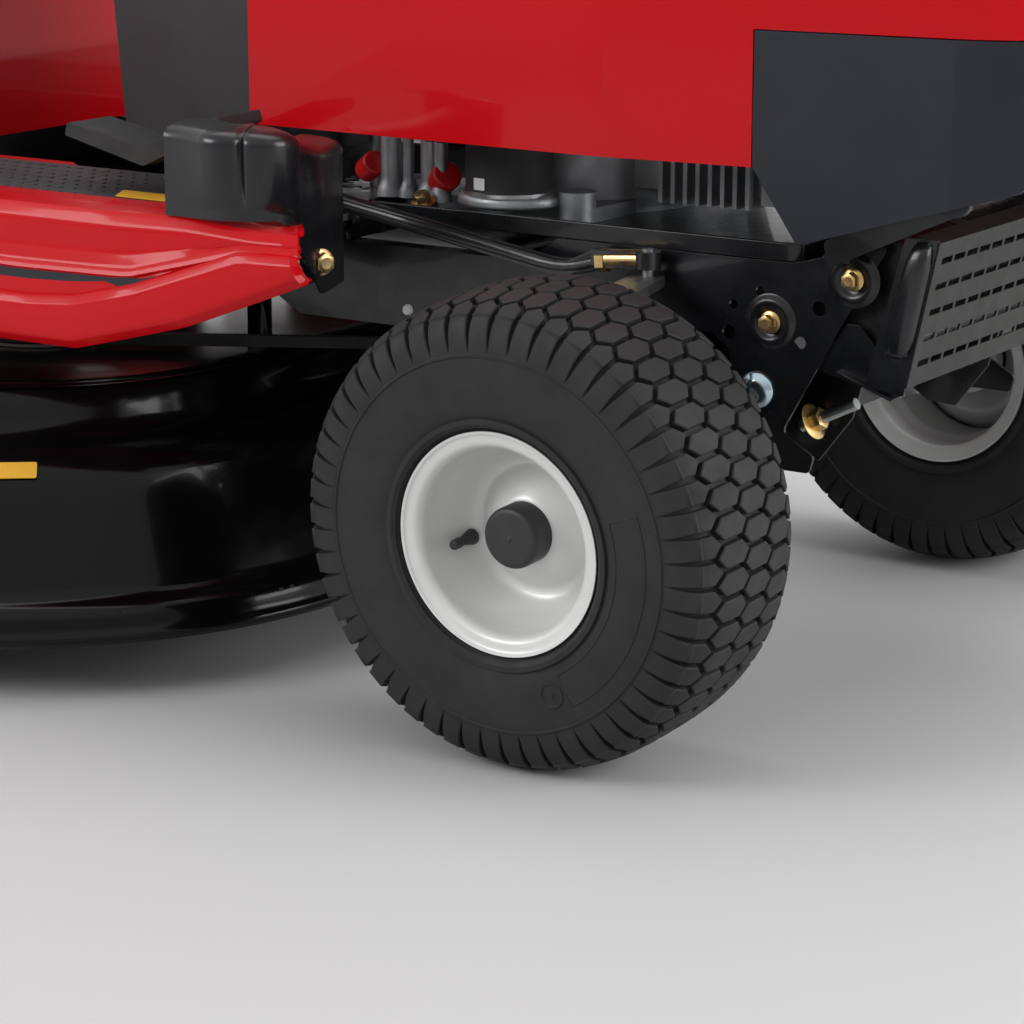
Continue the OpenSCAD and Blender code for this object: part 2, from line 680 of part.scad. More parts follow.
// Hood and nose: one outer form, split into a hood and a lower fascia
module body_form(k) {
    drop = k > 0 ? 200 : 0;
    intersection() {
        side_plate(rounded([[hood_x - drop, 455 - drop], [split_x, 455 - drop], [split_x + 38,
            397 - drop], [axle_x + 309, 447 - drop],
            [nose_x - k, 500 - drop], [nose_x - k, 600], [nose_x - 22 - k, hood_z - 110 - k],
                [nose_x - 130, hood_z - 30 - k],
            [hood_x - drop, hood_z - k]], [0, 4, 4, 20, 20, 60, 60, 160, 0], 6), -hood_y, 2 * hood_y);
        flat_plate(rounded([[hood_x - 10 - drop, -hood_y + 15 + k], [axle_x - 40, -hood_y + k],
            [nose_x - k, -hood_y + 40 + k], [nose_x - k, hood_y - 40 - k],
            [axle_x - 40, hood_y - k], [hood_x - 10 - drop, hood_y - 15 - k]], [0, 300, 110, 110, 300,
                0], 8), 100, 1000);
        cross_plate(rounded([[-hood_y + k, 100], [hood_y - k, 100], [hood_y - k, 620], [hood_y - 45 - k,
            hood_z - k],
            [-hood_y + 45 + k, hood_z - k], [-hood_y + k, 620]], [0, 0, 100, 60, 60, 100], 8),
                hood_x - 300, nose_x + 50);
    }
}
fascia_top = 560;
module hood() {
    color("#b01217") difference() {
        body_form(0);
        body_form(skin);
        block([split_x - 1, -300, 300], [nose_x + 50, 300, fascia_top + 1]);
        block([nose_x - 80, -112, fascia_top + 30], [nose_x + 50, 112, hood_z - 140]);
        for (s = [-1, 1]) block([nose_x - 110, s > 0 ? 124 : -212, fascia_top + 40], [nose_x + 50,
            s > 0 ? 212 : -124, hood_z - 155]);
    }
}
module nose_fascia() {
    color("#17181d") {
        difference() {
            body_form(0);
            body_form(skin);
            block([hood_x - 300, -300, 300], [split_x, 300, 1000]);
            block([hood_x - 300, -300, fascia_top], [nose_x + 50, 300, 1000]);
        }
        // hinge ears reach in to the straps' pins
        for (s = [right, left]) side(s) {
            difference() {
                union() {
                    along_y(hinge[0], -hinge_y - 9, -hinge_y - 2, hinge[2], 14);
                    block([hinge[0] - 14, -hinge_y - 9, hinge[2]], [hinge[0] + 14, -hinge_y - 2,
                        hinge[2] + 34]);
                    block([hinge[0] - 14, -hinge_y - 14, hinge[2] + 18], [hinge[0] + 14, -hinge_y - 2,
                        hinge[2] + 34]);
                }
                along_y(hinge[0], -250, -hinge_y, hinge[2], 6 + fit);
            }
        }
    }
}
module grille() {
    color("#111214") difference() {
        block([nose_x - 68, -118, fascia_top + 8], [nose_x - 62, 118, hood_z - 134]);
        for (i = [-10:10]) block([nose_x - 70, i * 10 - 3, fascia_top + 24], [nose_x - 60, i * 10 + 3,
            hood_z - 150]);
    }
}
module headlight_lenses() {
    color("#dfe6ea") for (s = [-1, 1]) block([nose_x - 92, s > 0 ? 126 : -206, fascia_top + 34],
        [nose_x - 82, s > 0 ? 206 : -126, hood_z - 150]);
}

// Dash tower, open below, with holes for the column, levers and key
dash_line = rounded([[dash_x[0] + 25, foot_z], [dash_x[1], foot_z], [dash_x[1], hood_z + 4],
    [dash_x[0] + 105, hood_z + 16],
    [dash_x[0] - 8, 812], [dash_x[0] - 8, 760]], [0, 0, 14, 18, 18, 20]);
module dash_console() {
    dash_in = rounded([[dash_x[0] + 25 + skin, foot_z - 5], [dash_x[1] - skin, foot_z - 5],
        [dash_x[1] - skin, hood_z + 4 - skin],
        [dash_x[0] + 105, hood_z + 16 - skin], [dash_x[0] - 8 + skin, 812 - skin], [dash_x[0] - 8 + skin,
            760]], [0, 0, 10, 14, 14, 16]);
    color("#1b1c1f") difference() {
        side_plate(dash_line, -dash_y, 2 * dash_y);
        side_plate(dash_in, -dash_y + skin, 2 * (dash_y - skin));
        translate(column_top) rotate([0, -column_tilt, 0]) translate([0, 0, -shaft_len - 30])
            cylinder(h = shaft_len, r = 20, $fn = 48);
        block([lever_x - 32, 84, 850], [lever_x + 38, 92, 950]);
        along_x(dash_x[0] - 35, dash_x[0] + 25, control_y, control_z, 6 + fit);
        along_x(dash_x[0] - 35, dash_x[0] + 25, -control_y, control_z, 9 + fit);
    }
}
pedal_hole = 8 + fit;
module dash_bracket(x) {
    line = rounded([[axle_x - 483, 404], [x - 18, 404], [x - 13, pedal_z + 14], [x + 13, pedal_z + 14],
        [x + 18, 400],
        [axle_x - 296, 336], [axle_x - 330, 320], [axle_x - 470, 340]], [8, 4, 10, 10, 4, 10, 10, 10]);
    color("#131315") {
        difference() {
            side_plate(line, -foot_in, 5);
            along_y(x, -foot_in - 1, -foot_in + 6, pedal_z, pedal_hole);
        }
        block([axle_x - 470, -foot_in + 5, 384 + 0.5], [axle_x - 435, -rail_y + 20, 390]);
    }
    color("#c8a24a") along_y(axle_x - 318, -foot_in - 7, -foot_in, 346, 9);
}
module dash_brackets() {
    side(right) dash_bracket(drive_x);
    side(left) dash_bracket(brake_x);
}

// Footboards: floor plate and a tapering outer skirt
foot_front = axle_x - 205;
foot_rear = rear_x + 330;
skirt_line = rounded([[foot_front, foot_z - 41], [foot_front - 26, foot_z], [foot_rear, foot_z],
    [foot_rear, foot_z - 120],
    [axle_x - 518, foot_z - 120], [axle_x - 407, foot_z - 98]], [6, 10, 0, 0, 20, 60]);
module footboard(s) {
    side(s) color("#b01217") {
        flat_plate([[foot_front - 30, -foot_y + 30], [foot_front - 60, -foot_in - 1], [axle_x - 488,
            -foot_in - 1],
            [dash_x[0] - 20, -200], [foot_rear, -200], [foot_rear, -foot_y], [foot_front - 60, -foot_y]],
                foot_z - skin, foot_z);
        side_plate(skirt_line, -foot_y, skin);
    }
}
module footboard_right() { footboard(right); }
module footboard_left() { footboard(left); }

// Rear fender: a hollow cover over the rear wheels with the lever's slot
fender_y = 480;
fender_front = foot_rear;
module fender_form(k) {
    drop = k > 0 ? 100 : 0;
    intersection() {
        side_plate(rounded([[fender_front - 1 - k, foot_z - 60 - drop], [fender_front - 1 - k,
            foot_z + 60], [fender_front - 30, fender_z - k],
            [tail_x + 70, fender_z - k], [tail_x + 15 + k, fender_z - 50], [tail_x + 15 + k,
                foot_z - drop]], [0, 60, 40, 40, 30, 0], 6), -fender_y, 2 * fender_y);
        cross_plate(rounded([[-fender_y + k, 200], [fender_y - k, 200], [fender_y - k, fender_z - k],
            [-fender_y + k, fender_z - k]],
            [0, 0, 60 - k, 60 - k], 6), tail_x, 0);
    }
}
module rear_fender() {
    color("#b01217") difference() {
        fender_form(0);
        fender_form(skin);
        along_y(rear_x, -fender_y - 1, fender_y + 1, tyre_r_r, tyre_r_r + 24);
        block([lift_x - 135, lever_y - 12, fender_z - 20], [lift_x + 22, lever_y + 12, fender_z + 10]);
        block([fender_front - 40, -rail_y - 14, 300], [fender_front + 10, rail_y + 14,
            rail_top + rail_step + 2]);
        block([tail_x, -rail_y - 6, 300], [tail_x + 60, rail_y + 6, rail_top + rail_step + 2]);
    }
}

// Seat: pan on a front hinge, and the one-piece cushion
seat_hinge = [seat_x + 190, fender_z + 22];
module seat_bracket() {
    color("#1a1a1c") {
        for (s = [-1, 1])
            block([seat_hinge[0] - 20, s * 110 - 3, fender_z], [seat_hinge[0] + 8, s * 110 + 3,
                seat_hinge[1] + 8]);
        along_y(seat_hinge[0], -130, 130, seat_hinge[1], 6);
    }
}
module seat_pan() {
    back = seat_x - 220;
    color("#1c1c1e") {
        difference() {
            union() {
                side_plate(rounded([[seat_hinge[0] + 10, seat_hinge[1] + 12], [seat_hinge[0] + 10,
                    seat_z - 24], [seat_hinge[0] + 10, seat_z - 16],
                    [back, seat_z - 26], [back - 36, seat_z + 250], [back - 44, seat_z + 250], [back - 8,
                        seat_z - 40], [seat_hinge[0] - 40, seat_hinge[1] + 14]],
                    [0, 0, 0, 20, 3, 3, 30, 0]), -seat_w / 2 + 30, seat_w - 60);
                for (s = [-1, 1]) block([seat_hinge[0] - 12, s * 122 - 4, seat_hinge[1] - 12],
                    [seat_hinge[0] + 10, s * 122 + 4, seat_hinge[1] + 16]);
            }
            along_y(seat_hinge[0], -140, 140, seat_hinge[1], 6 + fit);
        }
        // coil springs under the pan
        for (s = [-1, 1]) upright(seat_x - 120, s * 100, fender_z + gap, seat_z - 40, 22);
    }
}
module seat_cushion() {
    back = seat_x - 220;
    color("#1d1d20") {
        side_plate(rounded([[seat_hinge[0] + 20, seat_z - 15], [seat_hinge[0] + 30, seat_z + 30],
            [seat_hinge[0] - 30, seat_z + 48], [back + 80, seat_z + 34],
            [back + 50, seat_z + 60], [back + 14, seat_z + 300], [back - 20, seat_z + 306], [back - 32,
                seat_z + 255], [back + 1, seat_z - 24]],
            [8, 14, 40, 30, 30, 18, 14, 3, 18]), -seat_w / 2, seat_w);
    }
}

// Deck shell: a band over two circles and the straight between them
deck_outer = [[0, deck_lip_z], [lip_r, deck_lip_z], [lip_r, deck_lip_z + 25], [lip_r - 18, deck_lip_z + 28],
    [lip_r - 50, deck_lip_z + 122], [lip_r - 56, deck_lip_z + 132], [lip_r - 110, deck_lip_z + 146],
        [lip_r - 122, deck_top], [0, deck_top]];
module deck_form(k) {
    line = [for (p = deck_outer) [max(0, p[0] - k), p[1] == deck_lip_z ? p[1] - (k > 0 ? 10 : 0) :
        p[1] - k]];
    for (s = [-1, 1]) translate([spindle_x, s * spindle_y, 0]) rotate_extrude($fn = 128) polygon(line);
    for (m = [0, 1]) translate([spindle_x, 0, 0]) mirror([m, 0, 0]) side_plate(line, -spindle_y,
        2 * spindle_y);
}
ears = [lift_x + ear_reach, link_x + ear_reach];
deck_skin = 3;
mouth = [130, deck_lip_z + 42, deck_lip_z + 112];   // half width, bottom and top
flap_x = spindle_x - lip_r + 8;
flap_z = deck_lip_z + 118;
module deck_shell() {
    color("#131417") {
        difference() {
            deck_form(0);
            deck_form(deck_skin);
            for (s = [-1, 1]) upright(spindle_x, s * spindle_y, deck_top - 10, deck_top + 1, 22);
            block([spindle_x - lip_r - 1, -mouth[0], mouth[1]], [spindle_x - 200, mouth[0], mouth[2]]);
        }
        for (x = ears) for (s = [-1, 1]) difference() {
            union() {
                block([x - 12, s * (ear_y - 9) - 2.5, deck_top - 1], [x + 12, s * (ear_y - 9) + 2.5,
                    ear_z]);
                along_y(x, s * (ear_y - 9) - 2.5, s * (ear_y - 9) + 2.5, ear_z, 12);
            }
            along_y(x, s * (ear_y - 9) - 5, s * (ear_y - 9) + 5, ear_z, x == ears[0] ? 6 + fit : 8);
        }
        // flap pins
        for (s = [-1, 1]) difference() {
            block([spindle_x - lip_r - 2, s * (mouth[0] + 12) - 3, mouth[2] - 6],
                [spindle_x - lip_r + 46, s * (mouth[0] + 12) + 3, mouth[2] + 16]);
            deck_form(deck_skin);
        }
        along_y(flap_x, -mouth[0] - 12, mouth[0] + 12, flap_z, 4);
    }
}
module deck_flap() {
    color("#18191b") difference() {
        union() {
            along_y(flap_x, -mouth[0] + 4, mouth[0] - 4, flap_z, 8);
            block([flap_x - 7, -mouth[0] + 4, deck_lip_z + 32], [flap_x - 3, mouth[0] - 4, flap_z]);
        }
        along_y(flap_x, -mouth[0], mouth[0], flap_z, 4 + fit);
    }
}
module deck_spindles() {
    color("#77797c") for (s = [-1, 1]) difference() {
        union() {
            upright(spindle_x, s * spindle_y, deck_top - 110, deck_top - deck_skin - 2, 34);
            upright(spindle_x, s * spindle_y, deck_top - deck_skin - 2, deck_top - deck_skin, 60);
            upright(spindle_x, s * spindle_y, deck_top - deck_skin, deck_top + 2, 21.5);
        }
        upright(spindle_x, s * spindle_y, deck_top - 120, deck_top + 10, 10 + fit);
    }
}
spindle_pulley_r = 58;
deck_reach = engine_x - spindle_x;
module deck_belt() {
    color("#1a1a1a") translate([0, 0, deck_belt_z - 5]) linear_extrude(10) difference() {
        belt_outline(spindle_pulley_r - 1, engine_pulley_r - 1);
        belt_outline(spindle_pulley_r - 10, engine_pulley_r - 10);
    }
}
// Triangle of belt round the two spindle pulleys and the engine's
module belt_outline(r, r_engine) {
    run = [deck_reach, spindle_y];
    tilt = asin((r - r_engine) / norm(run));
    dir = atan2(run[1], run[0]);
    polygon(concat(
        [for (i = [0:12]) let (a = -(90 - dir) - tilt + (2 * (90 - dir) + 2 * tilt) * i / 12) [engine_x + r_engine * cos(a), r_engine * sin(a)]],
        [for (i = [0:12]) let (a = 90 - dir + tilt + (90 + dir - tilt) * i / 12) [spindle_x + r * cos(a),
            spindle_y + r * sin(a)]],
        [for (i = [0:12]) let (a = 180 + (90 + dir - tilt) * i / 12) [spindle_x + r * cos(a),
            -spindle_y + r * sin(a)]]));
}
module blade(s) {
    turn = s == right ? 0 : 90;
    long = spindle_y * 2 - 40;
    translate([spindle_x, s * spindle_y, 0]) rotate([0, 0, turn]) {
        color("#5f6164") difference() {
            translate([-long / 2, -28, deck_lip_z + 18]) cube([long, 56, 5]);
            for (m = [0, 1]) rotate([0, 0, 180 * m]) translate([long / 2 - 130, 14, deck_lip_z + 17])
                rotate([20, 0, 0]) cube([140, 30, 10]);
        }
        color("#a5a7aa") {
            translate([0, 0, deck_lip_z + 10]) cylinder(h = deck_belt_z + 3 - deck_lip_z, r = 10, $fn = 48);
            translate([0, 0, deck_lip_z + 23]) cylinder(h = 40, r = 20, $fn = 48);
            for (z = [-9, 6]) translate([0, 0, deck_belt_z + z]) cylinder(h = 3, r = spindle_pulley_r,
                $fn = 64);
            translate([0, 0, deck_belt_z - 2.9]) cylinder(h = 8.9, r = spindle_pulley_r - 11, $fn = 64);
        }
    }
}
module blade_right() { blade(right); }
module blade_left() { blade(left); }

// Lift: cross shaft, two arms and the hand lever; front links the same shape
module lift_arms(x) {
    color("#2b2c2f") {
        for (s = [-1, 1]) {
            along_y(x, s > 0 ? ear_y - 4 : -ear_y - 4, s > 0 ? ear_y + 4 : -ear_y + 4, lift_z, 18);
            translate([x, s * ear_y + 4, lift_z]) rotate([90, lift_drop, 0]) linear_extrude(8)
                polygon([[0, -12], [lift_arm, -12], [lift_arm, 12], [0, 12]]);
            along_y(x + ear_reach, s * ear_y - 4, s * ear_y + 4, ear_z, 12);
            along_y(x + ear_reach, s > 0 ? ear_y - 16 : -ear_y - 4, s > 0 ? ear_y + 4 : -ear_y + 16,
                ear_z, 6);
        }
    }
}
lever_y = -rail_y - 36;
module lift_lever() {
    lift_arms(lift_x);
    color("#9b9da0") along_y(lift_x, lever_y - 6, rail_y + 6, lift_z, shaft_r);
    color("#202124") {
        along_y(lift_x, lever_y - 6, lever_y + 6, lift_z, 18);
        side_plate([[lift_x - 12, lift_z], [lift_x + 12, lift_z], [lift_x + 12, fender_z + 30],
            [lift_x - 12, fender_z + 30]], lever_y - 4, 8);
        bar([lift_x, lever_y, fender_z + 20], [lift_x, lever_y - 25, fender_z + 100], 7);
    }
    color("#141414") bar([lift_x, lever_y - 25, fender_z + 100], [lift_x, lever_y - 50, fender_z + 190],
        16);
}
module front_links() {
    lift_arms(link_x);
    color("#9b9da0") along_y(link_x, -rail_y - 6, rail_y + 6, lift_z, shaft_r);
}

// Pedals and hand controls
pedal_z = foot_z + 25;
brake_x = axle_x - 400;
drive_x = axle_x - 430;
pedal_in = foot_in + 22;
module brake_pedal() {
    color("#232427") {
        along_y(brake_x, foot_in - 25, pedal_in + 20, pedal_z, 8);
        side_plate(rounded([[brake_x - 9, pedal_z - 6], [brake_x + 9, pedal_z - 6], [brake_x + 56,
            pedal_z + 62],
            [brake_x + 40, pedal_z + 66]], 3), pedal_in + 4, 8);
        side_plate(rounded([[brake_x + 26, pedal_z + 64], [brake_x + 74, pedal_z + 52], [brake_x + 77,
            pedal_z + 64],
            [brake_x + 29, pedal_z + 76]], 3), pedal_in, 70);
    }
}
module drive_pedal() {
    color("#232427") {
        along_y(drive_x, -pedal_in - 20, -foot_in + 25, pedal_z, 8);
        side_plate(rounded([[drive_x - 85, pedal_z + 16], [drive_x, pedal_z - 4], [drive_x + 85,
            pedal_z + 34], [drive_x + 82, pedal_z + 44],
            [drive_x, pedal_z + 12], [drive_x - 82, pedal_z + 27]], [2, 8, 2, 2, 8, 2]), -pedal_in - 60,
                55);
    }
}
module throttle_lever() {
    color("#1a1a1c") {
        side_plate(rounded([[lever_x - 6, 820], [lever_x + 6, 820], [lever_x + 8, 930], [lever_x - 8,
            930]], 2), 86, 4);
        block([lever_x, 80, 925], [lever_x + 22, 96, 939]);
        along_y(lever_x, 82, 94, 826, 10);
    }
}
module pto_knob() {
    color("#c8a012") along_x(dash_x[0] - 34, dash_x[0] - 22, -control_y, control_z, 20);
    color("#8c8e90") along_x(dash_x[0] - 22, dash_x[0] + 40, -control_y, control_z, 9);
}
module ignition_key() {
    color("#17181a") {
        along_x(dash_x[0] - 22, dash_x[0] + 30, control_y, control_z, 6);
        block([dash_x[0] - 46, control_y - 3, control_z - 16], [dash_x[0] - 22, control_y + 3,
            control_z + 16]);
    }
}

rail_left();
rail_right();
front_bracket();
engine_tray();
hitch_plate();
steering_bracket();
axle_beam();
knuckle_right();
knuckle_left();
tie_rod();
drag_link();
steering_sector();
steering_pinion();
steering_wheel();
tyre_front_right();
tyre_front_left();
rim_front_right();
rim_front_left();
hub_cap_front_right();
hub_cap_front_left();
tyre_rear_right();
tyre_rear_left();
rim_rear_right();
rim_rear_left();
transaxle();
drive_belt();
engine_block();
blower_housing();
starter_motor();
crankshaft_pulleys();
muffler();
muffler_guard();
fuel_tank();
fuel_cap();
battery();
hood();
nose_fascia();
grille();
headlight_lenses();
dash_console();
dash_brackets();
footboard_right();
footboard_left();
rear_fender();
seat_pan();
seat_cushion();
seat_bracket();
deck_shell();
deck_spindles();
deck_flap();
deck_belt();
blade_right();
blade_left();
lift_lever();
front_links();
brake_pedal();
drive_pedal();
throttle_lever();
pto_knob();
ignition_key();
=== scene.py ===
import json
from math import cos, pi, radians, sin

import bmesh
import bpy
from mathutils import Matrix, Vector

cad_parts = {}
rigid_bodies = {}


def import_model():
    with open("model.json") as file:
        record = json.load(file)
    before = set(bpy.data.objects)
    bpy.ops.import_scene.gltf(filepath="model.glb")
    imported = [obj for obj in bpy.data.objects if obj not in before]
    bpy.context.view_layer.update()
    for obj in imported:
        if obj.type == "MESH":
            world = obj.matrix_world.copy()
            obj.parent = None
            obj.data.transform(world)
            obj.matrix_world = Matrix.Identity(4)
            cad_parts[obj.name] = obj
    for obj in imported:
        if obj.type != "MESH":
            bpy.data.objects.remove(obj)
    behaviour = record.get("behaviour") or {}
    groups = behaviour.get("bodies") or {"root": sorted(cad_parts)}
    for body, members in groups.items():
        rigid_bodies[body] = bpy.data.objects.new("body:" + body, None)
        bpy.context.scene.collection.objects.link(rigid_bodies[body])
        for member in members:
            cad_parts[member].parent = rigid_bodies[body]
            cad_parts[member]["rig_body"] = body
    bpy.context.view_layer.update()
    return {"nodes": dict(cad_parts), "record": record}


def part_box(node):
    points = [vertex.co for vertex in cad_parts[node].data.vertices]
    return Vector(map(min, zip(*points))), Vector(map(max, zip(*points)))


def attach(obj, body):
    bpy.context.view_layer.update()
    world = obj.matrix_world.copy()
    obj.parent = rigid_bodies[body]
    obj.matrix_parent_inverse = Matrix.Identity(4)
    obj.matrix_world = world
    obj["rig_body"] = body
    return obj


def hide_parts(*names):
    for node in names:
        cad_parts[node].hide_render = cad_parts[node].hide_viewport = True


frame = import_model()
nodes = frame["nodes"]
slotOf = {part["node"]: part["material_slot"] for part in frame["record"]["subparts"]}
bodyOf = {name: node["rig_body"] for name, node in nodes.items()}
mm = 0.001
print("frame loaded", len(nodes), "nodes")

view = {
    "place": (1.846, -2.406, 0.803),
    "forward": (-0.534, 0.810, -0.244),
    "lens": 113.3,
}
cameraData = bpy.data.cameras.new("camera")
cameraData.lens = view["lens"]
cameraData.sensor_width = 36
cameraData.clip_end = 60
camera = bpy.data.objects.new("camera", cameraData)
camera.location = view["place"]
camera.rotation_euler = Vector(view["forward"]).to_track_quat("-Z", "Y").to_euler()
bpy.context.scene.collection.objects.link(camera)
bpy.context.scene.camera = camera
bpy.context.scene.view_settings.view_transform = "Standard"

studio = {
    "floorSize": 16.0,
    "floor": (0.5, 0.5, 0.5),
    "air": {"zenith": 0.85, "horizon": 1.15, "front": 0.45},   # above, around and behind the viewer
    "lamps": {
        "topBox": {"place": (0.2, 0.9, 3.4), "aim": (0, 0, 0.3), "size": (3.4, 2.6), "power": 40},
        "frontBox": {"place": (4.4, 0.6, 1.7), "aim": (0.7, -0.4, 0.1), "size": (3.0, 2.4), "power": 130},
        "sideBox": {"place": (-2.4, -4.2, 2.6), "aim": (0.2, -0.2, 0.3), "size": (2.6, 1.8), "power": 120},
    },
}


def link(name, data):
    made = bpy.data.objects.new(name, data)
    bpy.context.scene.collection.objects.link(made)
    return made


def plainFinish(name, colour, rough):
    finish = bpy.data.materials.new(name)
    finish.use_nodes = True
    shader = finish.node_tree.nodes["Principled BSDF"]
    shader.inputs["Base Color"].default_value = (*colour, 1)
    shader.inputs["Roughness"].default_value = rough
    return finish


def buildStudio():
    half = studio["floorSize"] / 2
    bm = bmesh.new()
    bmesh.ops.create_grid(bm, x_segments=1, y_segments=1, size=half)
    floor = link("floor", bpy.data.meshes.new("floor"))
    bm.to_mesh(floor.data)
    bm.free()
    floor.data.materials.append(plainFinish("paleFloor", studio["floor"], 0.6))
    for name, lamp in studio["lamps"].items():
        data = bpy.data.lights.new(name, "AREA")
        data.shape = "RECTANGLE"
        data.size, data.size_y = lamp["size"]
        data.energy = lamp["power"]
        box = link(name, data)
        box.location = lamp["place"]
        toward = Vector(lamp["aim"]) - Vector(lamp["place"])
        box.rotation_euler = toward.to_track_quat("-Z", "Y").to_euler()
    world = bpy.data.worlds.new("studioAir")
    bpy.context.scene.world = world
    world.use_nodes = True
    tree = world.node_tree
    air = studio["air"]
    facing = tree.nodes.new("ShaderNodeTexCoord").outputs["Generated"]

    def along(direction, low, high, start, end):
        dot = tree.nodes.new("ShaderNodeVectorMath")
        dot.operation = "DOT_PRODUCT"
        dot.inputs[1].default_value = direction
        tree.links.new(facing, dot.inputs[0])
        ramp = tree.nodes.new("ShaderNodeMapRange")
        ramp.interpolation_type = "SMOOTHSTEP"
        for socket, value in zip(("From Min", "From Max", "To Min", "To Max"), (low, high, start, end)):
            ramp.inputs[socket].default_value = value
        tree.links.new(dot.outputs["Value"], ramp.inputs["Value"])
        return ramp.outputs["Result"]

    upward = along((0, 0, 1), 0.12, 0.75, 0.0, 1.0)
    around = along((-0.54, 0.81, 0.2), -0.7, 0.5, air["front"], air["horizon"])
    blend = tree.nodes.new("ShaderNodeMix")
    blend.inputs["B"].default_value = air["zenith"]
    tree.links.new(upward, blend.inputs["Factor"])
    tree.links.new(around, blend.inputs["A"])
    tree.links.new(blend.outputs["Result"], tree.nodes["Background"].inputs["Strength"])
    tree.nodes["Background"].inputs["Color"].default_value = (1, 1, 1, 1)


buildStudio()
print("studio ready")

# base and second: the two colours that a slow noise mixes; rough: its lowest and highest
# value; grain: size in 1/m and height in m of the fine bump
finishes = {
    "frame_black": dict(base=(0.0045, 0.005, 0.0065), second=(0.0065, 0.007, 0.009), rough=(0.26, 0.36),
                        coat=0.2,
                        spec=0.4, grain=(1400, 0.00004)),
    "deck_black": dict(base=(0.002, 0.0021, 0.0025), second=(0.003, 0.0031, 0.0036), rough=(0.14, 0.2),
                       coat=0.1,
                       spec=0.18, grain=(500, 0.00004)),
    "red_paint": dict(base=(0.50, 0.002, 0.006), second=(0.485, 0.002, 0.006), rough=(0.24, 0.27), coat=0.2,
                      spec=0.12,
                      grain=(420, 0.00002)),
    "arm_steel": dict(base=(0.3, 0.31, 0.32), second=(0.2, 0.2, 0.21), rough=(0.32, 0.5), metal=0.9,
                      grain=(900, 0.00008)),
    "rod_black": dict(base=(0.01, 0.01, 0.012), second=(0.018, 0.018, 0.02), rough=(0.25, 0.4), coat=0.2,
                      grain=(1100, 0.00005)),
    "zinc_steel": dict(base=(0.55, 0.57, 0.58), second=(0.4, 0.42, 0.44), rough=(0.25, 0.45), metal=1.0,
                       grain=(1300, 0.00005)),
    "tyre_rubber": dict(base=(0.017, 0.0172, 0.018), second=(0.023, 0.023, 0.0235), rough=(0.6, 0.78),
                        spec=0.3,
                        grain=(1600, 0.0001)),
    "rim_silver": dict(base=(0.66, 0.66, 0.65), second=(0.62, 0.62, 0.615), rough=(0.34, 0.44), metal=0.15,
                       coat=0.25,
                       grain=(700, 0.00003)),
    "black_plastic": dict(base=(0.012, 0.012, 0.014), second=(0.018, 0.018, 0.02), rough=(0.4, 0.55),
                          grain=(1500, 0.00018)),
    "fascia_plastic": dict(base=(0.008, 0.0095, 0.015), second=(0.010, 0.0115, 0.018), rough=(0.34, 0.42),
                           spec=0.4,
                           grain=(1800, 0.0001)),
    "soft_black": dict(base=(0.014, 0.014, 0.015), second=(0.022, 0.022, 0.023), rough=(0.6, 0.8),
                       grain=(1300, 0.0003)),
    "cast_aluminium": dict(base=(0.45, 0.47, 0.49), second=(0.3, 0.32, 0.34), rough=(0.4, 0.6), metal=0.85,
                           grain=(650, 0.0004)),
    "belt_rubber": dict(base=(0.012, 0.012, 0.012), second=(0.025, 0.024, 0.023), rough=(0.65, 0.85),
                        grain=(900, 0.0003)),
    "muffler_black": dict(base=(0.006, 0.006, 0.0065), second=(0.014, 0.013, 0.0125), rough=(0.2, 0.34),
                          coat=0.3,
                          grain=(600, 0.0001)),
    "guard_steel": dict(base=(0.016, 0.015, 0.014), second=(0.011, 0.0102, 0.0096), rough=(0.4, 0.5),
                        metal=0.1, spec=0.35,
                        grain=(1100, 0.0001)),
    "tank_plastic": dict(base=(0.62, 0.6, 0.5), second=(0.56, 0.54, 0.44), rough=(0.4, 0.55),
                         grain=(900, 0.0001)),
    "lens_clear": dict(base=(0.75, 0.8, 0.84), second=(0.7, 0.75, 0.8), rough=(0.05, 0.12), coat=1.0,
                       grain=(300, 0.0001)),
    "seat_vinyl": dict(base=(0.012, 0.012, 0.013), second=(0.02, 0.02, 0.021), rough=(0.38, 0.52),
                       leather=True,
                       grain=(420, 0.0004)),
    "blade_steel": dict(base=(0.1, 0.1, 0.105), second=(0.19, 0.18, 0.17), rough=(0.3, 0.55), metal=0.9,
                        grain=(500, 0.0002)),
    "knob_yellow": dict(base=(0.75, 0.45, 0.01), second=(0.68, 0.4, 0.01), rough=(0.3, 0.42),
                        grain=(900, 0.0001)),
    "yellow_zinc": dict(base=(0.72, 0.5, 0.2), second=(0.6, 0.42, 0.2), rough=(0.22, 0.4), metal=0.95,
                        grain=(1200, 0.00005)),
    "blue_zinc": dict(base=(0.45, 0.58, 0.66), second=(0.55, 0.66, 0.72), rough=(0.14, 0.28), metal=1.0,
                      grain=(900, 0.00004)),
    "red_cap": dict(base=(0.6, 0.01, 0.012), second=(0.5, 0.008, 0.01), rough=(0.28, 0.4),
                    grain=(900, 0.00008)),
    "label_white": dict(base=(0.75, 0.75, 0.75), second=(0.68, 0.68, 0.68), rough=(0.35, 0.5),
                        grain=(500, 0.00003)),
    "label_yellow": dict(base=(0.72, 0.38, 0.01), second=(0.66, 0.34, 0.01), rough=(0.35, 0.45),
                         grain=(500, 0.00003)),
    "shadow_black": dict(base=(0.002, 0.002, 0.002), second=(0.004, 0.004, 0.004), rough=(0.6, 0.8),
                         grain=(500, 0.00003)),
    "foot_mat": dict(base=(0.016, 0.015, 0.017), second=(0.03, 0.026, 0.03), rough=(0.55, 0.75),
                     grain=(700, 0.0003)),
}


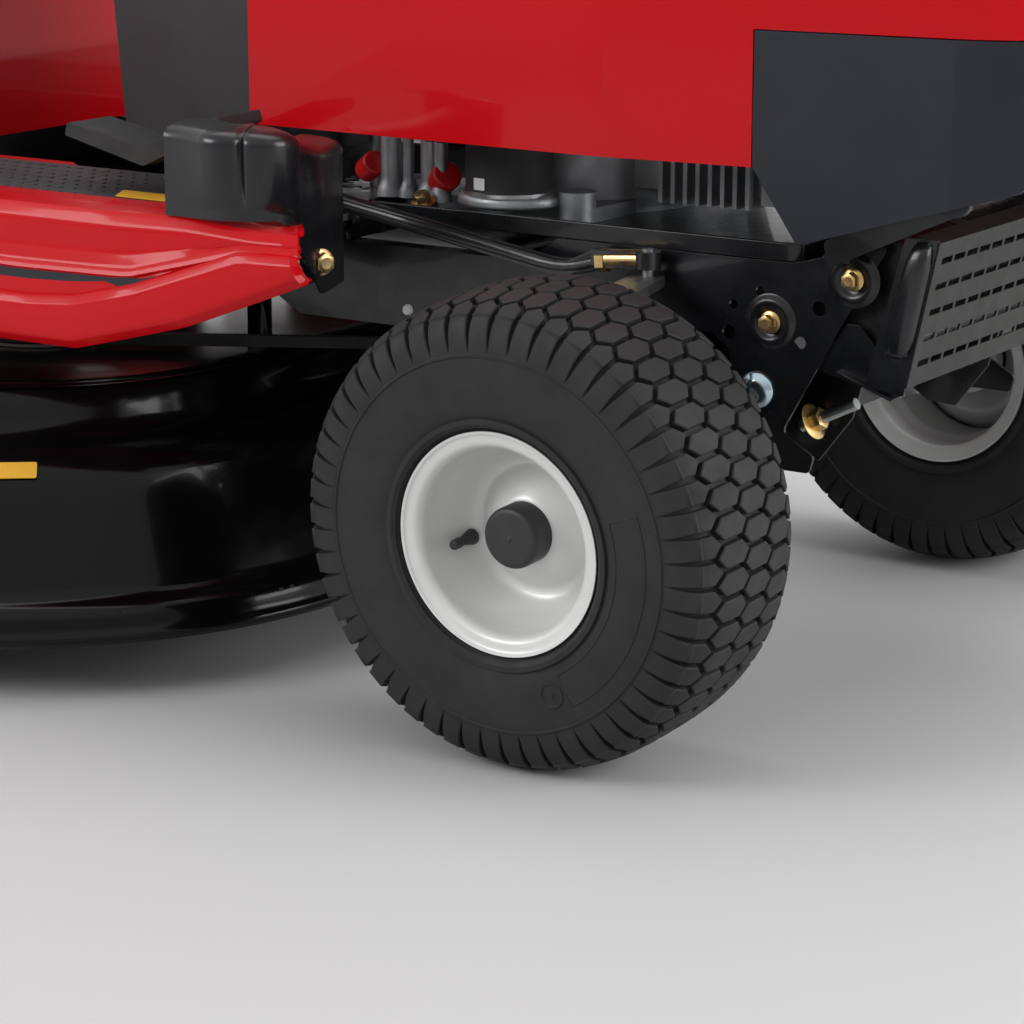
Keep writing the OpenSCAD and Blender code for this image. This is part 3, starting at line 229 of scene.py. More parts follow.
def makeFinish(name, look):
    finish = bpy.data.materials.new(name)
    finish.use_nodes = True
    tree = finish.node_tree
    shader = tree.nodes["Principled BSDF"]
    place = tree.nodes.new("ShaderNodeTexCoord").outputs["Object"]

    def noiseAt(scale, detail=4.0):
        made = tree.nodes.new("ShaderNodeTexNoise")
        made.inputs["Scale"].default_value = scale
        made.inputs["Detail"].default_value = detail
        tree.links.new(place, made.inputs["Vector"])
        return made.outputs["Fac"]

    mottle = tree.nodes.new("ShaderNodeMix")
    mottle.data_type = "RGBA"
    mottle.inputs["A"].default_value = (*look["base"], 1)
    mottle.inputs["B"].default_value = (*look["second"], 1)
    spread = tree.nodes.new("ShaderNodeMapRange")
    spread.inputs["From Min"].default_value = 0.35
    spread.inputs["From Max"].default_value = 0.65
    tree.links.new(noiseAt(look.get("mottle", 14)), spread.inputs["Value"])
    tree.links.new(spread.outputs["Result"], mottle.inputs["Factor"])
    tree.links.new(mottle.outputs["Result"], shader.inputs["Base Color"])

    dull = tree.nodes.new("ShaderNodeMapRange")
    dull.inputs["From Min"].default_value = 0.3
    dull.inputs["From Max"].default_value = 0.7
    dull.inputs["To Min"].default_value = look["rough"][0]
    dull.inputs["To Max"].default_value = look["rough"][1]
    tree.links.new(noiseAt(look.get("smears", 55)), dull.inputs["Value"])
    tree.links.new(dull.outputs["Result"], shader.inputs["Roughness"])

    size, height = look["grain"]
    bump = tree.nodes.new("ShaderNodeBump")
    bump.inputs["Strength"].default_value = 0.6
    bump.inputs["Distance"].default_value = height
    if look.get("leather"):
        pores = tree.nodes.new("ShaderNodeTexVoronoi")
        pores.feature = "DISTANCE_TO_EDGE"
        pores.inputs["Scale"].default_value = size
        tree.links.new(place, pores.inputs["Vector"])
        tree.links.new(pores.outputs["Distance"], bump.inputs["Height"])
    else:
        tree.links.new(noiseAt(size, 2.0), bump.inputs["Height"])
    tree.links.new(bump.outputs["Normal"], shader.inputs["Normal"])
    shader.inputs["Metallic"].default_value = look.get("metal", 0.0)
    shader.inputs["Specular IOR Level"].default_value = look.get("spec", 0.5)
    shader.inputs["Coat Weight"].default_value = look.get("coat", 0.0)
    shader.inputs["Coat Roughness"].default_value = look.get("coatRough", 0.05)
    return finish


finish = {name: makeFinish(name, look) for name, look in finishes.items()}
print("finishes ready", len(finish))


def softLine(points, reach, steps=4, closed=False):
    eased = []
    last = len(points) - 1
    for i, point in enumerate(points):
        corner = Vector(point)
        size = reach[i] if isinstance(reach, (list, tuple)) else reach
        if not size or (not closed and i in (0, last)):
            eased.append(corner)
            continue
        before, after = Vector(points[i - 1]), Vector(points[(i + 1) % len(points)])
        start = corner + (before - corner).normalized() * min(size, (before - corner).length * 0.49)
        end = corner + (after - corner).normalized() * min(size, (after - corner).length * 0.49)
        for k in range(steps + 1):
            t = k / steps
            eased.append((1 - t) ** 2 * start + 2 * t * (1 - t) * corner + t * t * end)
    return eased


def walled(line, thick):
    inner = []
    for i, point in enumerate(line):
        before, after = Vector(line[max(i - 1, 0)]), Vector(line[min(i + 1, len(line) - 1)])
        along = (after - before).normalized()
        inner.append(Vector(point) + Vector((-along.y, along.x)) * thick)
    return [Vector(p) for p in line] + inner[::-1]


def absorb(bm, part, place=None, index=0):
    for face in part.faces:
        face.material_index = index
    if place is not None:
        bmesh.ops.transform(part, matrix=place, verts=part.verts)
    holder = bpy.data.meshes.new("holder")
    part.to_mesh(holder)
    part.free()
    bm.from_mesh(holder)
    bpy.data.meshes.remove(holder)


def lathe(line, steps=64, closed=False, turn=2 * pi):
    part = bmesh.new()
    verts = [part.verts.new((p[0] * mm, 0, p[1] * mm)) for p in line]
    count = len(verts)
    edges = [part.edges.new((verts[i], verts[(i + 1) % count]))
             for i in range(count if closed else count - 1)]
    bmesh.ops.spin(part, geom=verts + edges, cent=(0, 0, 0), axis=(0, 0, 1), angle=turn, steps=steps,
                   use_merge=abs(turn - 2 * pi) < 1e-6)
    bmesh.ops.remove_doubles(part, verts=part.verts, dist=0.00001)
    bmesh.ops.recalc_face_normals(part, faces=part.faces)
    return part


def slab(outline, depth, ease=0.0, segments=2):
    part = bmesh.new()
    face = part.faces.new([part.verts.new((p[0] * mm, p[1] * mm, 0)) for p in outline])
    grown = bmesh.ops.extrude_face_region(part, geom=[face])["geom"]
    bmesh.ops.translate(part, vec=(0, 0, depth * mm), verts=[v
                                                             for v in grown if isinstance(v,
                                                                     bmesh.types.BMVert)])
    bmesh.ops.recalc_face_normals(part, faces=part.faces)
    if ease:
        rims = [e for e in part.edges if len(e.link_faces) == 2 and e.calc_face_angle(0) > radians(50)]
        bmesh.ops.bevel(part, geom=rims, offset=ease * mm, affect="EDGES", segments=segments, profile=0.5,
                        material=-1)
    return part


def aim(origin, direction, roll=0.0):
    turn = Vector(direction).to_track_quat("Z", "Y").to_matrix().to_4x4()
    return Matrix.Translation(Vector(origin) * mm) @ turn @ Matrix.Rotation(roll, 4, "Z")


def makePiece(name, bm, looks, body, replaced=(), sharp=35):
    mesh = bpy.data.meshes.new(name)
    bm.to_mesh(mesh)
    bm.free()
    mesh.shade_smooth()
    mesh.set_sharp_from_angle(angle=radians(sharp))
    looks = [looks] if isinstance(looks, str) else looks
    for look in looks:
        mesh.materials.append(finish[look])
    piece = link(name, mesh)
    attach(piece, body)
    if replaced:
        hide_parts(*replaced)
    return piece


def hexBolt(across, height, flange=0.0, washer=1.6):
    part = bmesh.new()
    if flange:
        skirt = lathe([(0, 0), (flange, 0), (flange, 0.8), (across * 0.56, washer + 0.6),
                       (0, washer + 0.6)], 40)
        absorb(part, skirt)
    head = bmesh.new()
    bmesh.ops.create_cone(head, cap_ends=True, segments=6, radius1=across * mm / 1.732,
                          radius2=across * mm / 1.732,
                          depth=height * mm)
    rims = [e for e in head.edges if e.calc_face_angle(0) > radians(80)]
    bmesh.ops.bevel(head, geom=rims, offset=0.7 * mm, affect="EDGES", segments=2, profile=0.5, material=-1)
    absorb(part, head, Matrix.Translation((0, 0, (height / 2 + (washer if flange else 0)) * mm)))
    absorb(part, lathe([(0, 0), (across * 0.32, 0), (across * 0.3, 0.5), (0, 0.3)], 24),
           Matrix.Translation((0, 0, (height + (washer if flange else 0)) * mm)))
    return part


def frameShape(name, weld=0.00002):
    # the mesh of a frame piece, its doubled corners merged
    part = bmesh.new()
    part.from_mesh(nodes[name].data)
    bmesh.ops.remove_doubles(part, verts=part.verts, dist=weld)
    return part


def softCopy(name, ease=0.9, segments=2, angle=32):
    bm = frameShape(name)
    bmesh.ops.dissolve_limit(bm, angle_limit=radians(1.0), use_dissolve_boundaries=False, verts=bm.verts,
                             edges=bm.edges)
    piece = makePiece("soft_" + name, bm, slotOf[name], bodyOf[name], [name], sharp=angle)
    if ease:
        bevel = piece.modifiers.new("easedEdges", "BEVEL")
        bevel.width = ease * mm
        bevel.segments = segments
        bevel.limit_method = "ANGLE"
        bevel.angle_limit = radians(angle)
        bevel.use_clamp_overlap = True
        bevel.harden_normals = True
    return piece


def centreOf(name):
    low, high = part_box(name)
    return (low + high) / 2


def wheelPlace(name, side, camber):
    return Matrix.Translation(centreOf(name)) @ Matrix.Rotation(-side * radians(90 + camber), 4, "X")


frontTyre = {
    "radius": 188, "bead": 76.3, "width": 150, "power": 0.5,
    "pitches": 54,            # lugs round the tread
    "depth": 7.0, "columns": 1, "column": 34, "flat": 11, "tip": 19.2, "groove": 2.3,
    "lugEnd": 98, "fold": 1.5, "ease": 0.8, "steps": 216,
    "ridges": [(147.5, 1.5, 1.1), (97, 5, 2.6), (90, 1.0, -0.5)],   # radius, half width, height
    "plate": (108, 134, 78),  # inner and outer radius and sweep of the size plate's frame
}
rearTyre = {
    "radius": 228.5, "bead": 102.3, "width": 210, "power": 0.55,
    "pitches": 52, "depth": 6.5, "columns": 3, "column": 25.5, "flat": 8.2, "tip": 16, "groove": 2.2,
    "lugEnd": 118, "fold": 1.2, "ease": 1.0, "steps": 208,
    "ridges": [(196, 1.6, 1.1), (131, 2.4, 1.0), (125, 1.4, -0.6)],
    "plate": (142, 172, 70),
}


def sectionWalk(tyre):
    middle = (tyre["radius"] + tyre["bead"]) / 2
    half = (tyre["radius"] - tyre["bead"]) / 2
    walk = []
    run = 0.0
    count = 360
    for i in range(count + 1):
        a = pi / 2 - pi * i / count
        c, s = max(cos(a), 0.0), sin(a)
        spot = Vector((middle + half * (1 if s >= 0 else -1) * abs(s) ** tyre["power"],
                       tyre["width"] / 2 * c ** tyre["power"]))
        if walk:
            run += (spot - walk[-1][1]).length
        walk.append((run, spot))
    return walk


def onSection(walk, distance, lift):
    side = -1 if distance < 0 else 1
    reach = min(abs(distance), walk[-1][0] - 0.01)
    low, high = 0, len(walk) - 1
    while high - low > 1:
        half = (low + high) // 2
        if walk[half][0] <= reach:
            low = half
        else:
            high = half
    span = max(walk[high][0] - walk[low][0], 1e-9)
    spot = walk[low][1].lerp(walk[high][1], (reach - walk[low][0]) / span)
    ahead, behind = walk[min(high + 3, len(walk) - 1)][1], walk[max(low - 3, 0)][1]
    along = (ahead - behind).normalized()
    normal = Vector((-along.y, along.x))
    if normal.dot(spot - Vector((walk[-1][1].x + 40, 0))) < 0:
        normal = -normal
    return spot.x + normal.x * lift, side * (spot.y + normal.y * lift)


def treadBlock(outline, tyre, cuts):
    block = slab(outline, tyre["depth"] + 1.5)
    top = [e for e in block.edges if all(v.co.z > 0.001 for v in e.verts)]
    bmesh.ops.bevel(block, geom=top, offset=tyre["ease"] * mm, affect="EDGES", segments=1, profile=0.5,
                    material=-1)
    for cut in cuts:
        bmesh.ops.bisect_plane(block, geom=block.verts[:] + block.edges[:] + block.faces[:], dist=1e-6,
                               plane_co=(0, cut * mm, 0), plane_no=(0, 1, 0))
    bmesh.ops.delete(block, geom=[f for f in block.faces if f.normal.z < -0.9], context="FACES_ONLY")
    return block


def buildTyre(name, tyre, place, body, replaced):
    walk = sectionWalk(tyre)
    pitch = 2 * pi * tyre["radius"] / tyre["pitches"]
    half = pitch / 2 - tyre["groove"]
    flat, tip, column = tyre["flat"], tyre["tip"], tyre["column"]
    treadEnd = (tyre["columns"] + 1) * column
    pattern = bmesh.new()
    for k in range(-tyre["columns"], tyre["columns"] + 1):
        shift = pitch / 2 if k % 2 else 0
        across = k * column
        outline = [(shift - half, across - flat), (shift - half, across + flat), (shift, across + tip),
                   (shift + half, across + flat), (shift + half, across - flat), (shift, across - tip)]
        absorb(pattern, treadBlock(outline, tyre, [across - flat, across, across + flat]))
    for side in (-1, 1):
        shift = pitch / 2 if (tyre["columns"] + 1) % 2 else 0
        outer = tyre["lugEnd"]
        outline = [(shift - pitch * 0.49, side * outer), (shift - half * 0.97, side * (treadEnd + 4)),
                   (shift - half, side * (treadEnd - flat)), (shift, side * (treadEnd - tip)),
                   (shift + half, side * (treadEnd - flat)), (shift + half * 0.97, side * (treadEnd + 4)),
                   (shift + pitch * 0.49, side * outer)]
        cuts = [side * (treadEnd - flat + (outer - treadEnd + flat) * i / 7) for i in range(7)]
        cuts += [side * (treadEnd + shift) for shift in (-1.5, 0, 1.5)]
        absorb(pattern, treadBlock(outline, tyre, cuts))
    # bend the flat pattern round the tyre; a block's foot is sunk a little below the groove's floor
    depth = tyre["depth"]
    for vert in pattern.verts:
        lift = min(vert.co.z / mm - (depth + 1.5), 0.0)
        fade = max(0.0, (abs(vert.co.y) / mm - tyre["lugEnd"] + 10) / 10)
        crease = tyre["fold"] * max(0.0, 1 - abs(abs(vert.co.y) / mm - treadEnd) / 1.5)
        radius, height = onSection(walk, vert.co.y / mm, lift - 0.25 * fade + crease)
        angle = vert.co.x / mm / tyre["radius"]
        vert.co = Vector((radius * cos(angle), radius * sin(angle), height)) * mm
    bmesh.ops.spin(pattern, geom=pattern.verts[:] + pattern.edges[:] + pattern.faces[:], cent=(0, 0, 0),
                   axis=(0, 0, 1), angle=2 * pi * (tyre["pitches"] - 1) / tyre["pitches"],
                   steps=tyre["pitches"] - 1, use_duplicate=True)
    # carcass: groove floor under the tread, then the sidewall with its rings, down to the bead
    section = []
    total = walk[-1][0]
    stops = sorted([total * i / 70 for i in range(71)] + [tyre["lugEnd"] - 2, tyre["lugEnd"] + 1])
    for distance in stops:
        rise = (distance - treadEnd + flat) / (tyre["lugEnd"] + 1 - treadEnd + flat)
        lift = -depth * (1 - max(0.0, min(1.0, rise)) ** 1.6) if distance < tyre["lugEnd"] + 1 else 0.0
        radius, height = onSection(walk, distance, lift)
        section.append((radius, height))
    ringed = []
    for i, (radius, height) in enumerate(section):
        ringed.append((radius, height))
        if i + 1 == len(section):
            continue
        for ring, width, rise in tyre["ridges"]:
            if height > tyre["width"] * 0.4 and section[i + 1][0] < ring <= radius:
                for offset, share in ((width, 0), (width * 0.4, 1), (-width * 0.4, 1), (-width, 0)):
                    ringed.append((ring + offset, height + rise * share))
    outer = [p for i,
             p in enumerate(ringed) if i == 0 or p[0] < ringed[i - 1][0] + 0.01 or p[1] > ringed[i - 1][1]]
    mirrored = [(r, -z) for r, z in outer[::-1]]
    bm = bmesh.new()
    absorb(bm, lathe(mirrored + outer[1:], tyre["steps"], closed=False))
    absorb(bm, pattern)
    low, high, sweep = tyre["plate"]
    for face in (-1, 1):
        absorb(bm, sizePlate(walk, low, high, sweep, face))
    bmesh.ops.transform(bm, matrix=place, verts=bm.verts)
    return makePiece(name, bm, "tyre_rubber", body, replaced, sharp=38)


def sizePlate(walk, low, high, sweep, face):
    part = bmesh.new()
    heights = {round(spot.x): spot.y for run, spot in walk if spot.y > 0}

    def wallHeight(radius):
        return heights.get(round(radius), max(heights.values()))

    loop = [(low, a) for a in range(0, sweep + 1, 3)] + [(high, a) for a in range(sweep, -1, -3)]
    ring = [(radius, radians(a - 60)) for radius, a in loop]
    for i, (r0, a0) in enumerate(ring):
        r1, a1 = ring[(i + 1) % len(ring)]
        start = Vector((r0 * cos(a0), r0 * sin(a0), face * wallHeight(r0)))
        end = Vector((r1 * cos(a1), r1 * sin(a1), face * wallHeight(r1)))
        bead = bmesh.new()
        bmesh.ops.create_cone(bead, cap_ends=False, segments=6, radius1=0.7 * mm, radius2=0.7 * mm,
                              depth=(end - start).length * mm)
        absorb(part, bead, aim((start + end) / 2, end - start))
    middle = (low + high) / 2
    spot = Vector((middle * cos(radians(-66)), middle * sin(radians(-66)), face * (wallHeight(middle) - 0.4)))
    absorb(part, lathe([(0, 1.4), (2, 1.4), (2.6, 0.6), (8, 0.6), (9, 1.5), (10, 1.5), (11, 0)], 32),
           aim(spot, (0, 0, face)))
    return part


for side, hand in ((-1, "right"), (1, "left")):
    tyreName = "tyre_front_" + hand
    buildTyre("front_tyre_" + hand, frontTyre, wheelPlace(tyreName, side, 3), bodyOf[tyreName], [tyreName])
    tyreName = "tyre_rear_" + hand
    buildTyre("rear_tyre_" + hand, rearTyre, wheelPlace(tyreName, side, 0), bodyOf[tyreName], [tyreName])
print("tyres built")

frontRim = {
    "barrel": [(88.5, -70.5), (89, -67.5), (85, -66), (76, -63), (75, -40), (70, -30), (70, 20), (75, 30),
               (76, 61),
               (78.5, 65), (84, 66), (87, 67.2), (88.8, 69.2), (88.4, 70.6)],
    "web": [(75.6, 50), (74, 40), (68, 25), (60, 14), (52, 10.5), (47, 11.5), (40, 17), (30, 25), (25, 28.5),
            (22, 28.5)],
    "wall": 2.2,
    "valve": (-58, -15.5),
    "cap": [(0, 54.4), (1.6, 54.2), (2.2, 53.4), (20, 53), (23, 52), (24.4, 49.5), (24.5, 28), (24.5, 26),
            (0, 26)],
}


def buildFrontRim(name, place, body, replaced):
    bm = bmesh.new()
    absorb(bm, lathe(walled(softLine(frontRim["barrel"], 2.0, 3), frontRim["wall"]), 128, closed=True))
    absorb(bm, lathe(walled(softLine(frontRim["web"], 6, 5), -frontRim["wall"]), 128, closed=True))
    absorb(bm, lathe([(22, -45), (22, 27), (10, 27), (10, -45)], 64, closed=True))
    absorb(bm, lathe([(24, -6), (30, -6), (31, -4), (31, 6), (24, 14)], 64))
    weld = lathe([(75.8, 46.5), (74.6, 49.5), (74.8, 43.5)], 128, closed=True)
    absorb(bm, weld)
    bmesh.ops.transform(bm, matrix=place, verts=bm.verts)
    return makePiece(name, bm, "rim_silver", body, replaced, sharp=30)


def buildHubCap(name, place, body, replaced):
    bm = bmesh.new()
    absorb(bm, lathe(softLine(frontRim["cap"], [0, 0.4, 0.3, 1.5, 1.5, 2, 0, 0, 0], 3), 96))
    stem = [(0, 38), (2.4, 38), (3.6, 37.4), (4.2, 36), (4.2, 29), (3.2, 28), (3.6, 24), (4.8, 19),
            (5.6, 15), (6.4, 13),
            (6.4, 11), (4, 10), (4, 4), (0, 4)]
    absorb(bm, lathe(stem, 32), Matrix.Translation((frontRim["valve"][0] * mm, frontRim["valve"][1] * mm,
                                                    0.007)))
    bmesh.ops.transform(bm, matrix=place, verts=bm.verts)
    return makePiece(name, bm, "black_plastic", body, replaced, sharp=40)


rearRim = {
    "barrel": [(114, -98.5), (114.5, -95), (110, -93.5), (102, -90), (101, -60), (94, -48), (94, 30),
               (101, 42),
               (102, 88), (105, 93), (110, 94), (113, 96), (114.5, 100), (112, 101)],
    "web": [(101, 60), (99, 52), (92, 33), (82, 22), (68, 18), (50, 20), (34, 24), (22, 26), (12, 26)],
    "wall": 2.6,
    "bolts": 5, "boltRing": 50,
}


def buildRearRim(name, place, body, replaced):
    bm = bmesh.new()
    absorb(bm, lathe(walled(softLine(rearRim["barrel"], 2.5, 3), rearRim["wall"]), 144, closed=True))
    absorb(bm, lathe(walled(softLine(rearRim["web"], 7, 5), -rearRim["wall"]), 144, closed=True))
    absorb(bm, lathe([(22, -90), (22, 29), (0, 30), (0, -90)], 64, closed=False))
    absorb(bm, lathe([(12.6, -298), (12.6, -88), (0, -88), (0, -298)], 48, closed=False))
    absorb(bm, lathe([(0, 34), (10, 34), (12, 32), (12, 26)], 48), index=1)
    for i in range(rearRim["bolts"]):
        a = 2 * pi * i / rearRim["bolts"]
        spot = (rearRim["boltRing"] * cos(a), rearRim["boltRing"] * sin(a), 20)
        absorb(bm, hexBolt(17, 8, 12), aim(spot, (0, 0, 1)), 1)
    bmesh.ops.transform(bm, matrix=place, verts=bm.verts)
    return makePiece(name, bm, ["rim_silver", "zinc_steel"], body, replaced, sharp=30)


for side, hand in ((-1, "right"), (1, "left")):
    place = wheelPlace("tyre_front_" + hand, side, 3)
    buildFrontRim("front_rim_" + hand, place, bodyOf["rim_front_" + hand], ["rim_front_" + hand])
    buildHubCap("front_cap_" + hand, place, bodyOf["hub_cap_front_" + hand], ["hub_cap_front_" + hand])
    place = wheelPlace("tyre_rear_" + hand, side, 0)
    buildRearRim("rear_rim_" + hand, place, bodyOf["rim_rear_" + hand], ["rim_rear_" + hand])
print("rims built")

def sweep(path, radius, sides=20, ends=True):
    # a round bar of that radius, or of the radii listed, along a line of points in mm
    part = bmesh.new()
    last = None
    points = [Vector(p) for p in path]
    for i, point in enumerate(points):
        along = (points[min(i + 1, len(points) - 1)] - points[max(i - 1, 0)]).normalized()
        reach = radius[i] if isinstance(radius, (list, tuple)) else radius
        grown = bmesh.ops.create_circle(part, segments=sides, radius=reach * mm,
                                        matrix=aim(point, along))["verts"]
        ring = list({e for v in grown for e in v.link_edges})
        if last:
            bmesh.ops.bridge_loops(part, edges=last + ring)
        last = ring
    if ends:
        bmesh.ops.holes_fill(part, edges=[e for e in part.edges if e.is_boundary])
    bmesh.ops.recalc_face_normals(part, faces=part.faces)
    return part


def sheet(columns, rows, spot, thick=0.0):
    # a curved panel: spot(u, v) gives its points in mm, u and v from 0 to 1; thick grows away from its face
    part = bmesh.new()
    bmesh.ops.create_grid(part, x_segments=columns, y_segments=rows, size=0.5)
    for vert in part.verts:
        vert.co = Vector(spot(vert.co.x + 0.5, vert.co.y + 0.5)) * mm
    bmesh.ops.remove_doubles(part, verts=part.verts, dist=0.00001)
    bmesh.ops.recalc_face_normals(part, faces=part.faces)
    if thick:
        made = bmesh.ops.extrude_face_region(part, geom=part.faces[:], use_keep_orig=True)["geom"]
        shell = [v for v in made if isinstance(v, bmesh.types.BMVert)]
        for vert, step in zip(shell, [v.normal.copy() for v in shell]):
            vert.co += step * thick * mm
        bmesh.ops.recalc_face_normals(part, faces=part.faces)
    return part


def between(knots, at):
    # the value at a place on a line of (place, value) knots
    for (x0, v0), (x1, v1) in zip(knots, knots[1:]):
        if at <= x1:
            return v0 + (v1 - v0) * max(0.0, (at - x0) / (x1 - x0))
    return knots[-1][1]


footboard = {
    "rear": -330, "front": 333, "inner": 200, "outer": 437, "floor": 404,
    "noseFrom": 0.96, "noseSpan": 0.0417,
    # along the length: the top and the lower edge of the side's inlay, and the bottom edge
    "inlayTop": [(-330, 354), (60, 352), (170, 354), (285, 380), (360, 380)],
    "inlayLow": [(-330, 327), (60, 327), (110, 331), (172, 345), (285, 379.6), (360, 379.6)],
    "bottom": [(-330, 289), (95, 290), (210, 318), (350, 366)],
}


def buildFootboard(name, side, body, replaced):
    f = footboard
    mesh = bmesh.new()

    def edgeX(u, y, z):
        # the front edge slants forward below the top, and the floor ends sooner towards the frame
        front = f["front"] - 14 + (f["floor"] - z) * 0.42 - max(0.0, f["outer"] - 42 - y) * 0.85
        return f["rear"] + (front - f["rear"]) * u

    def spot(part, v):
        along = part / f["noseFrom"]
        u, turn = min(1.0, along), max(0.0, along - 1) / f["noseSpan"]        # the nose turns in at its end
        x = f["rear"] + (f["front"] - f["rear"]) * u
        high, low, bottom = between(f["inlayTop"], x), between(f["inlayLow"], x), between(f["bottom"], x)
        tilt = 18 * max(0.0, (x - 150) / 183)            # the nose narrows a little
        out = f["outer"] - tilt
        raised = 7 if x < 236 else 7 * max(0.0, 1 - (x - 236) / 60)
        inner = f["inner"] + 42 * min(1.0, max(0.0, (x - 5) / 50))     # clear of the steering arm's sweep
        line = [(inner, 397), (inner + 14, 397), (out - 62, 397), (out - 56, 397 + raised),
                (out - 30, 397 + raised), (out - 12, 395 + raised), (out - 7, 388 + raised * 0.6),
                (out - 8, (388 + high) / 2), (out - 5, high + 5), (out - 2, high), (out - 5, high - 2),
                (out - 4, low + 2), (out, low), (out + 3, low - 6), (out + 3, (low + bottom) / 2 + 3),
                (out + 1, bottom + 6), (out - 4, bottom), (out - 12, bottom + 1)]
        y, z = between([(i / (len(line) - 1), Vector(p)) for i, p in enumerate(line)], v)
        reach = max(0.0, y - 402) * turn
        return edgeX(u, y, z) - reach * 0.55 + 3 * sin(pi * turn), side * (y - reach), z

    shell = sheet(70, 85, spot, 2.0)
    absorb(mesh, shell)

    # the inlay fills the groove along the side, and a mat lies on the floor
    def inlay(u, v):
        x = f["rear"] + (281 - f["rear"]) * u
        high, low = between(f["inlayTop"], x), between(f["inlayLow"], x)
        z = high - 1.5 + (low - high + 3) * v
        tilt = 18 * max(0.0, (x - 150) / 183)
        return x + (f["floor"] - z) * 0.42 * u, side * (f["outer"] - tilt - 2.6), z

    strip = sheet(60, 2, inlay)
    if strip.faces[:][0].normal.y * side < 0:
        bmesh.ops.reverse_faces(strip, faces=strip.faces)
    absorb(mesh, strip, None, 1)
    mat = slab(softLine([(f["rear"] + 12, side * 224), (60, side * 224), (176, side * 356), (168, side * 372),
                         (f["rear"] + 12, side * 374)], [6, 8, 8, 12, 6], 3, True), 2.4, 0.6)
    absorb(mesh, mat, Matrix.Translation((0, 0, 0.3985)), 2)
    dots = bmesh.new()
    for i in range(25):
        for j in range(7):
            if i * 15 - 296 > 44 + j * 16:
                continue
            knob = lathe([(3.4, 0), (3.0, 1.0), (1.6, 1.5), (0, 1.6)], 8)
            absorb(dots, knob, Matrix.Translation(((-296 + i * 15) * mm, side * (240 + j * 19) * mm, 0.4007)))
    absorb(mesh, dots, None, 2)
    label = slab(softLine([(78, side * 322), (142, side * 322), (158, side * 352), (94, side * 352)], 3, 3,
                          True), 0.5)
    absorb(mesh, label, Matrix.Translation((0, 0, 0.4015)), 3)
    return makePiece(name, mesh, ["red_paint", "fascia_plastic", "foot_mat", "label_yellow"], body,
                     replaced, sharp=40)


for side, hand in ((-1, "right"), (1, "left")):
    node = "footboard_" + hand
    buildFootboard("foot_board_" + hand, side, bodyOf[node], [node])

toeBoard = {
    # seen from above: its line along the footboard's edge and in to the frame
    "line": [(206, 420), (264, 421), (300, 404), (302, 356), (262, 262)],
    "top": [(0, 470), (0.6, 468), (1, 446)], "foot": [(0, 404.5), (0.52, 404.5), (0.66, 396), (0.9, 336),
                                                      (1, 333)],
    "lobes": [(0.02, 0.28), (0.3, 0.72)], "bulge": 9,
    "bolt": (294, 333, 362),
}


def buildToeBoard(mesh, side):
    line = softLine([(x, y, 0) for x, y in toeBoard["line"]], [0, 20, 30, 40, 0], 6)
    steps = [(i / (len(line) - 1), p) for i, p in enumerate(line)]

    def spot(u, v):
        base = between(steps, u)
        ahead = between(steps, min(1, u + 0.02)) - between(steps, max(0, u - 0.02))
        outward = Vector((-ahead.y, ahead.x, 0)).normalized()
        top, foot = between(toeBoard["top"], u), between(toeBoard["foot"], u)
        lobe = max(max(0.0, sin(pi * (u - a) / (b - a))) if a < u < b else 0.0 for a, b in toeBoard["lobes"])
        rise = max(0.0, (v - 0.12) / 0.68)
        swell = toeBoard["bulge"] * lobe ** 0.5 * max(0.0, sin(pi * min(1, rise) * 0.5)) ** 0.7
        fold = max(0.0, (v - 0.8) / 0.2)
        spotAt = base + outward * (swell - 34 * fold ** 1.5)
        return spotAt.x, side * spotAt.y, foot + (top - foot) * min(1.0, v / 0.82) + 7 * sin(pi * 0.5 * fold)

    absorb(mesh, sheet(64, 26, spot, 2.0))
    x, y, z = toeBoard["bolt"]
    absorb(mesh, hexBolt(15, 7, 11), aim((x, side * y, z), (0.91, side * 0.41, 0)), 1)


def buildBrackets():
    mesh = bmesh.new()
    absorb(mesh, frameShape("dash_brackets"))
    for side in (-1, 1):
        buildToeBoard(mesh, side)
    return makePiece("dash_feet", mesh, ["frame_black", "yellow_zinc"], "chassis", ["dash_brackets"],
                     sharp=40)


buildBrackets()
print("footboards and dash feet built")

steering = {
    "bar": [(206, 391.5), (220, 390), (450, 353), (490, 365)],
    "sleeve": [(490, 365), (529, 368.5)],
    "y": -208,
}


def buildDragLink():
    mesh = bmesh.new()
    absorb(mesh, frameShape("drag_link"))
    line = softLine([(x, steering["y"], z) for x, z in steering["bar"]], [0, 10, 26, 0], 8)
    absorb(mesh, sweep(line, 6.9, 24))
    (x0, z0), (x1, z1) = steering["sleeve"]
    run = Vector((x1 - x0, 0, z1 - z0))
    absorb(mesh, sweep([(x0, steering["y"], z0), (x1, steering["y"], z1)], 8.0, 24), None, 1)
    nut = bmesh.new()
    bmesh.ops.create_cone(nut, cap_ends=True, segments=6, radius1=0.0098, radius2=0.0098, depth=0.008)
    absorb(mesh, nut, aim((x0 - 4, steering["y"], z0 - 1.3), run), 1)
    return makePiece("steering_bar", mesh, ["rod_black", "yellow_zinc"], bodyOf["drag_link"], ["drag_link"],
                     sharp=34)


buildDragLink()

noseDetail = {
    "bolts": [(631, 325), (704, 366)],
    "mushroom": (620, 269),
    "rod": {"from": (640, -150, 234), "to": (690, -152, 259)},
    # outlines (x, z) of the shield's brace and of the lower bracket, behind the side plate
    "brace": [(690, 326), (712, 350), (734, 343), (717, 281), (672, 294)],
    "tip": [(644, 285), (604, 213), (618, 204), (645, 202), (675, 241), (684, 273)],
    # corners (x, z) of the pressed shield beside the guard: top rear, bottom rear, bottom front, top front
    "shield": [(753, 405), (721, 285), (755, 281), (781, 405)],
}


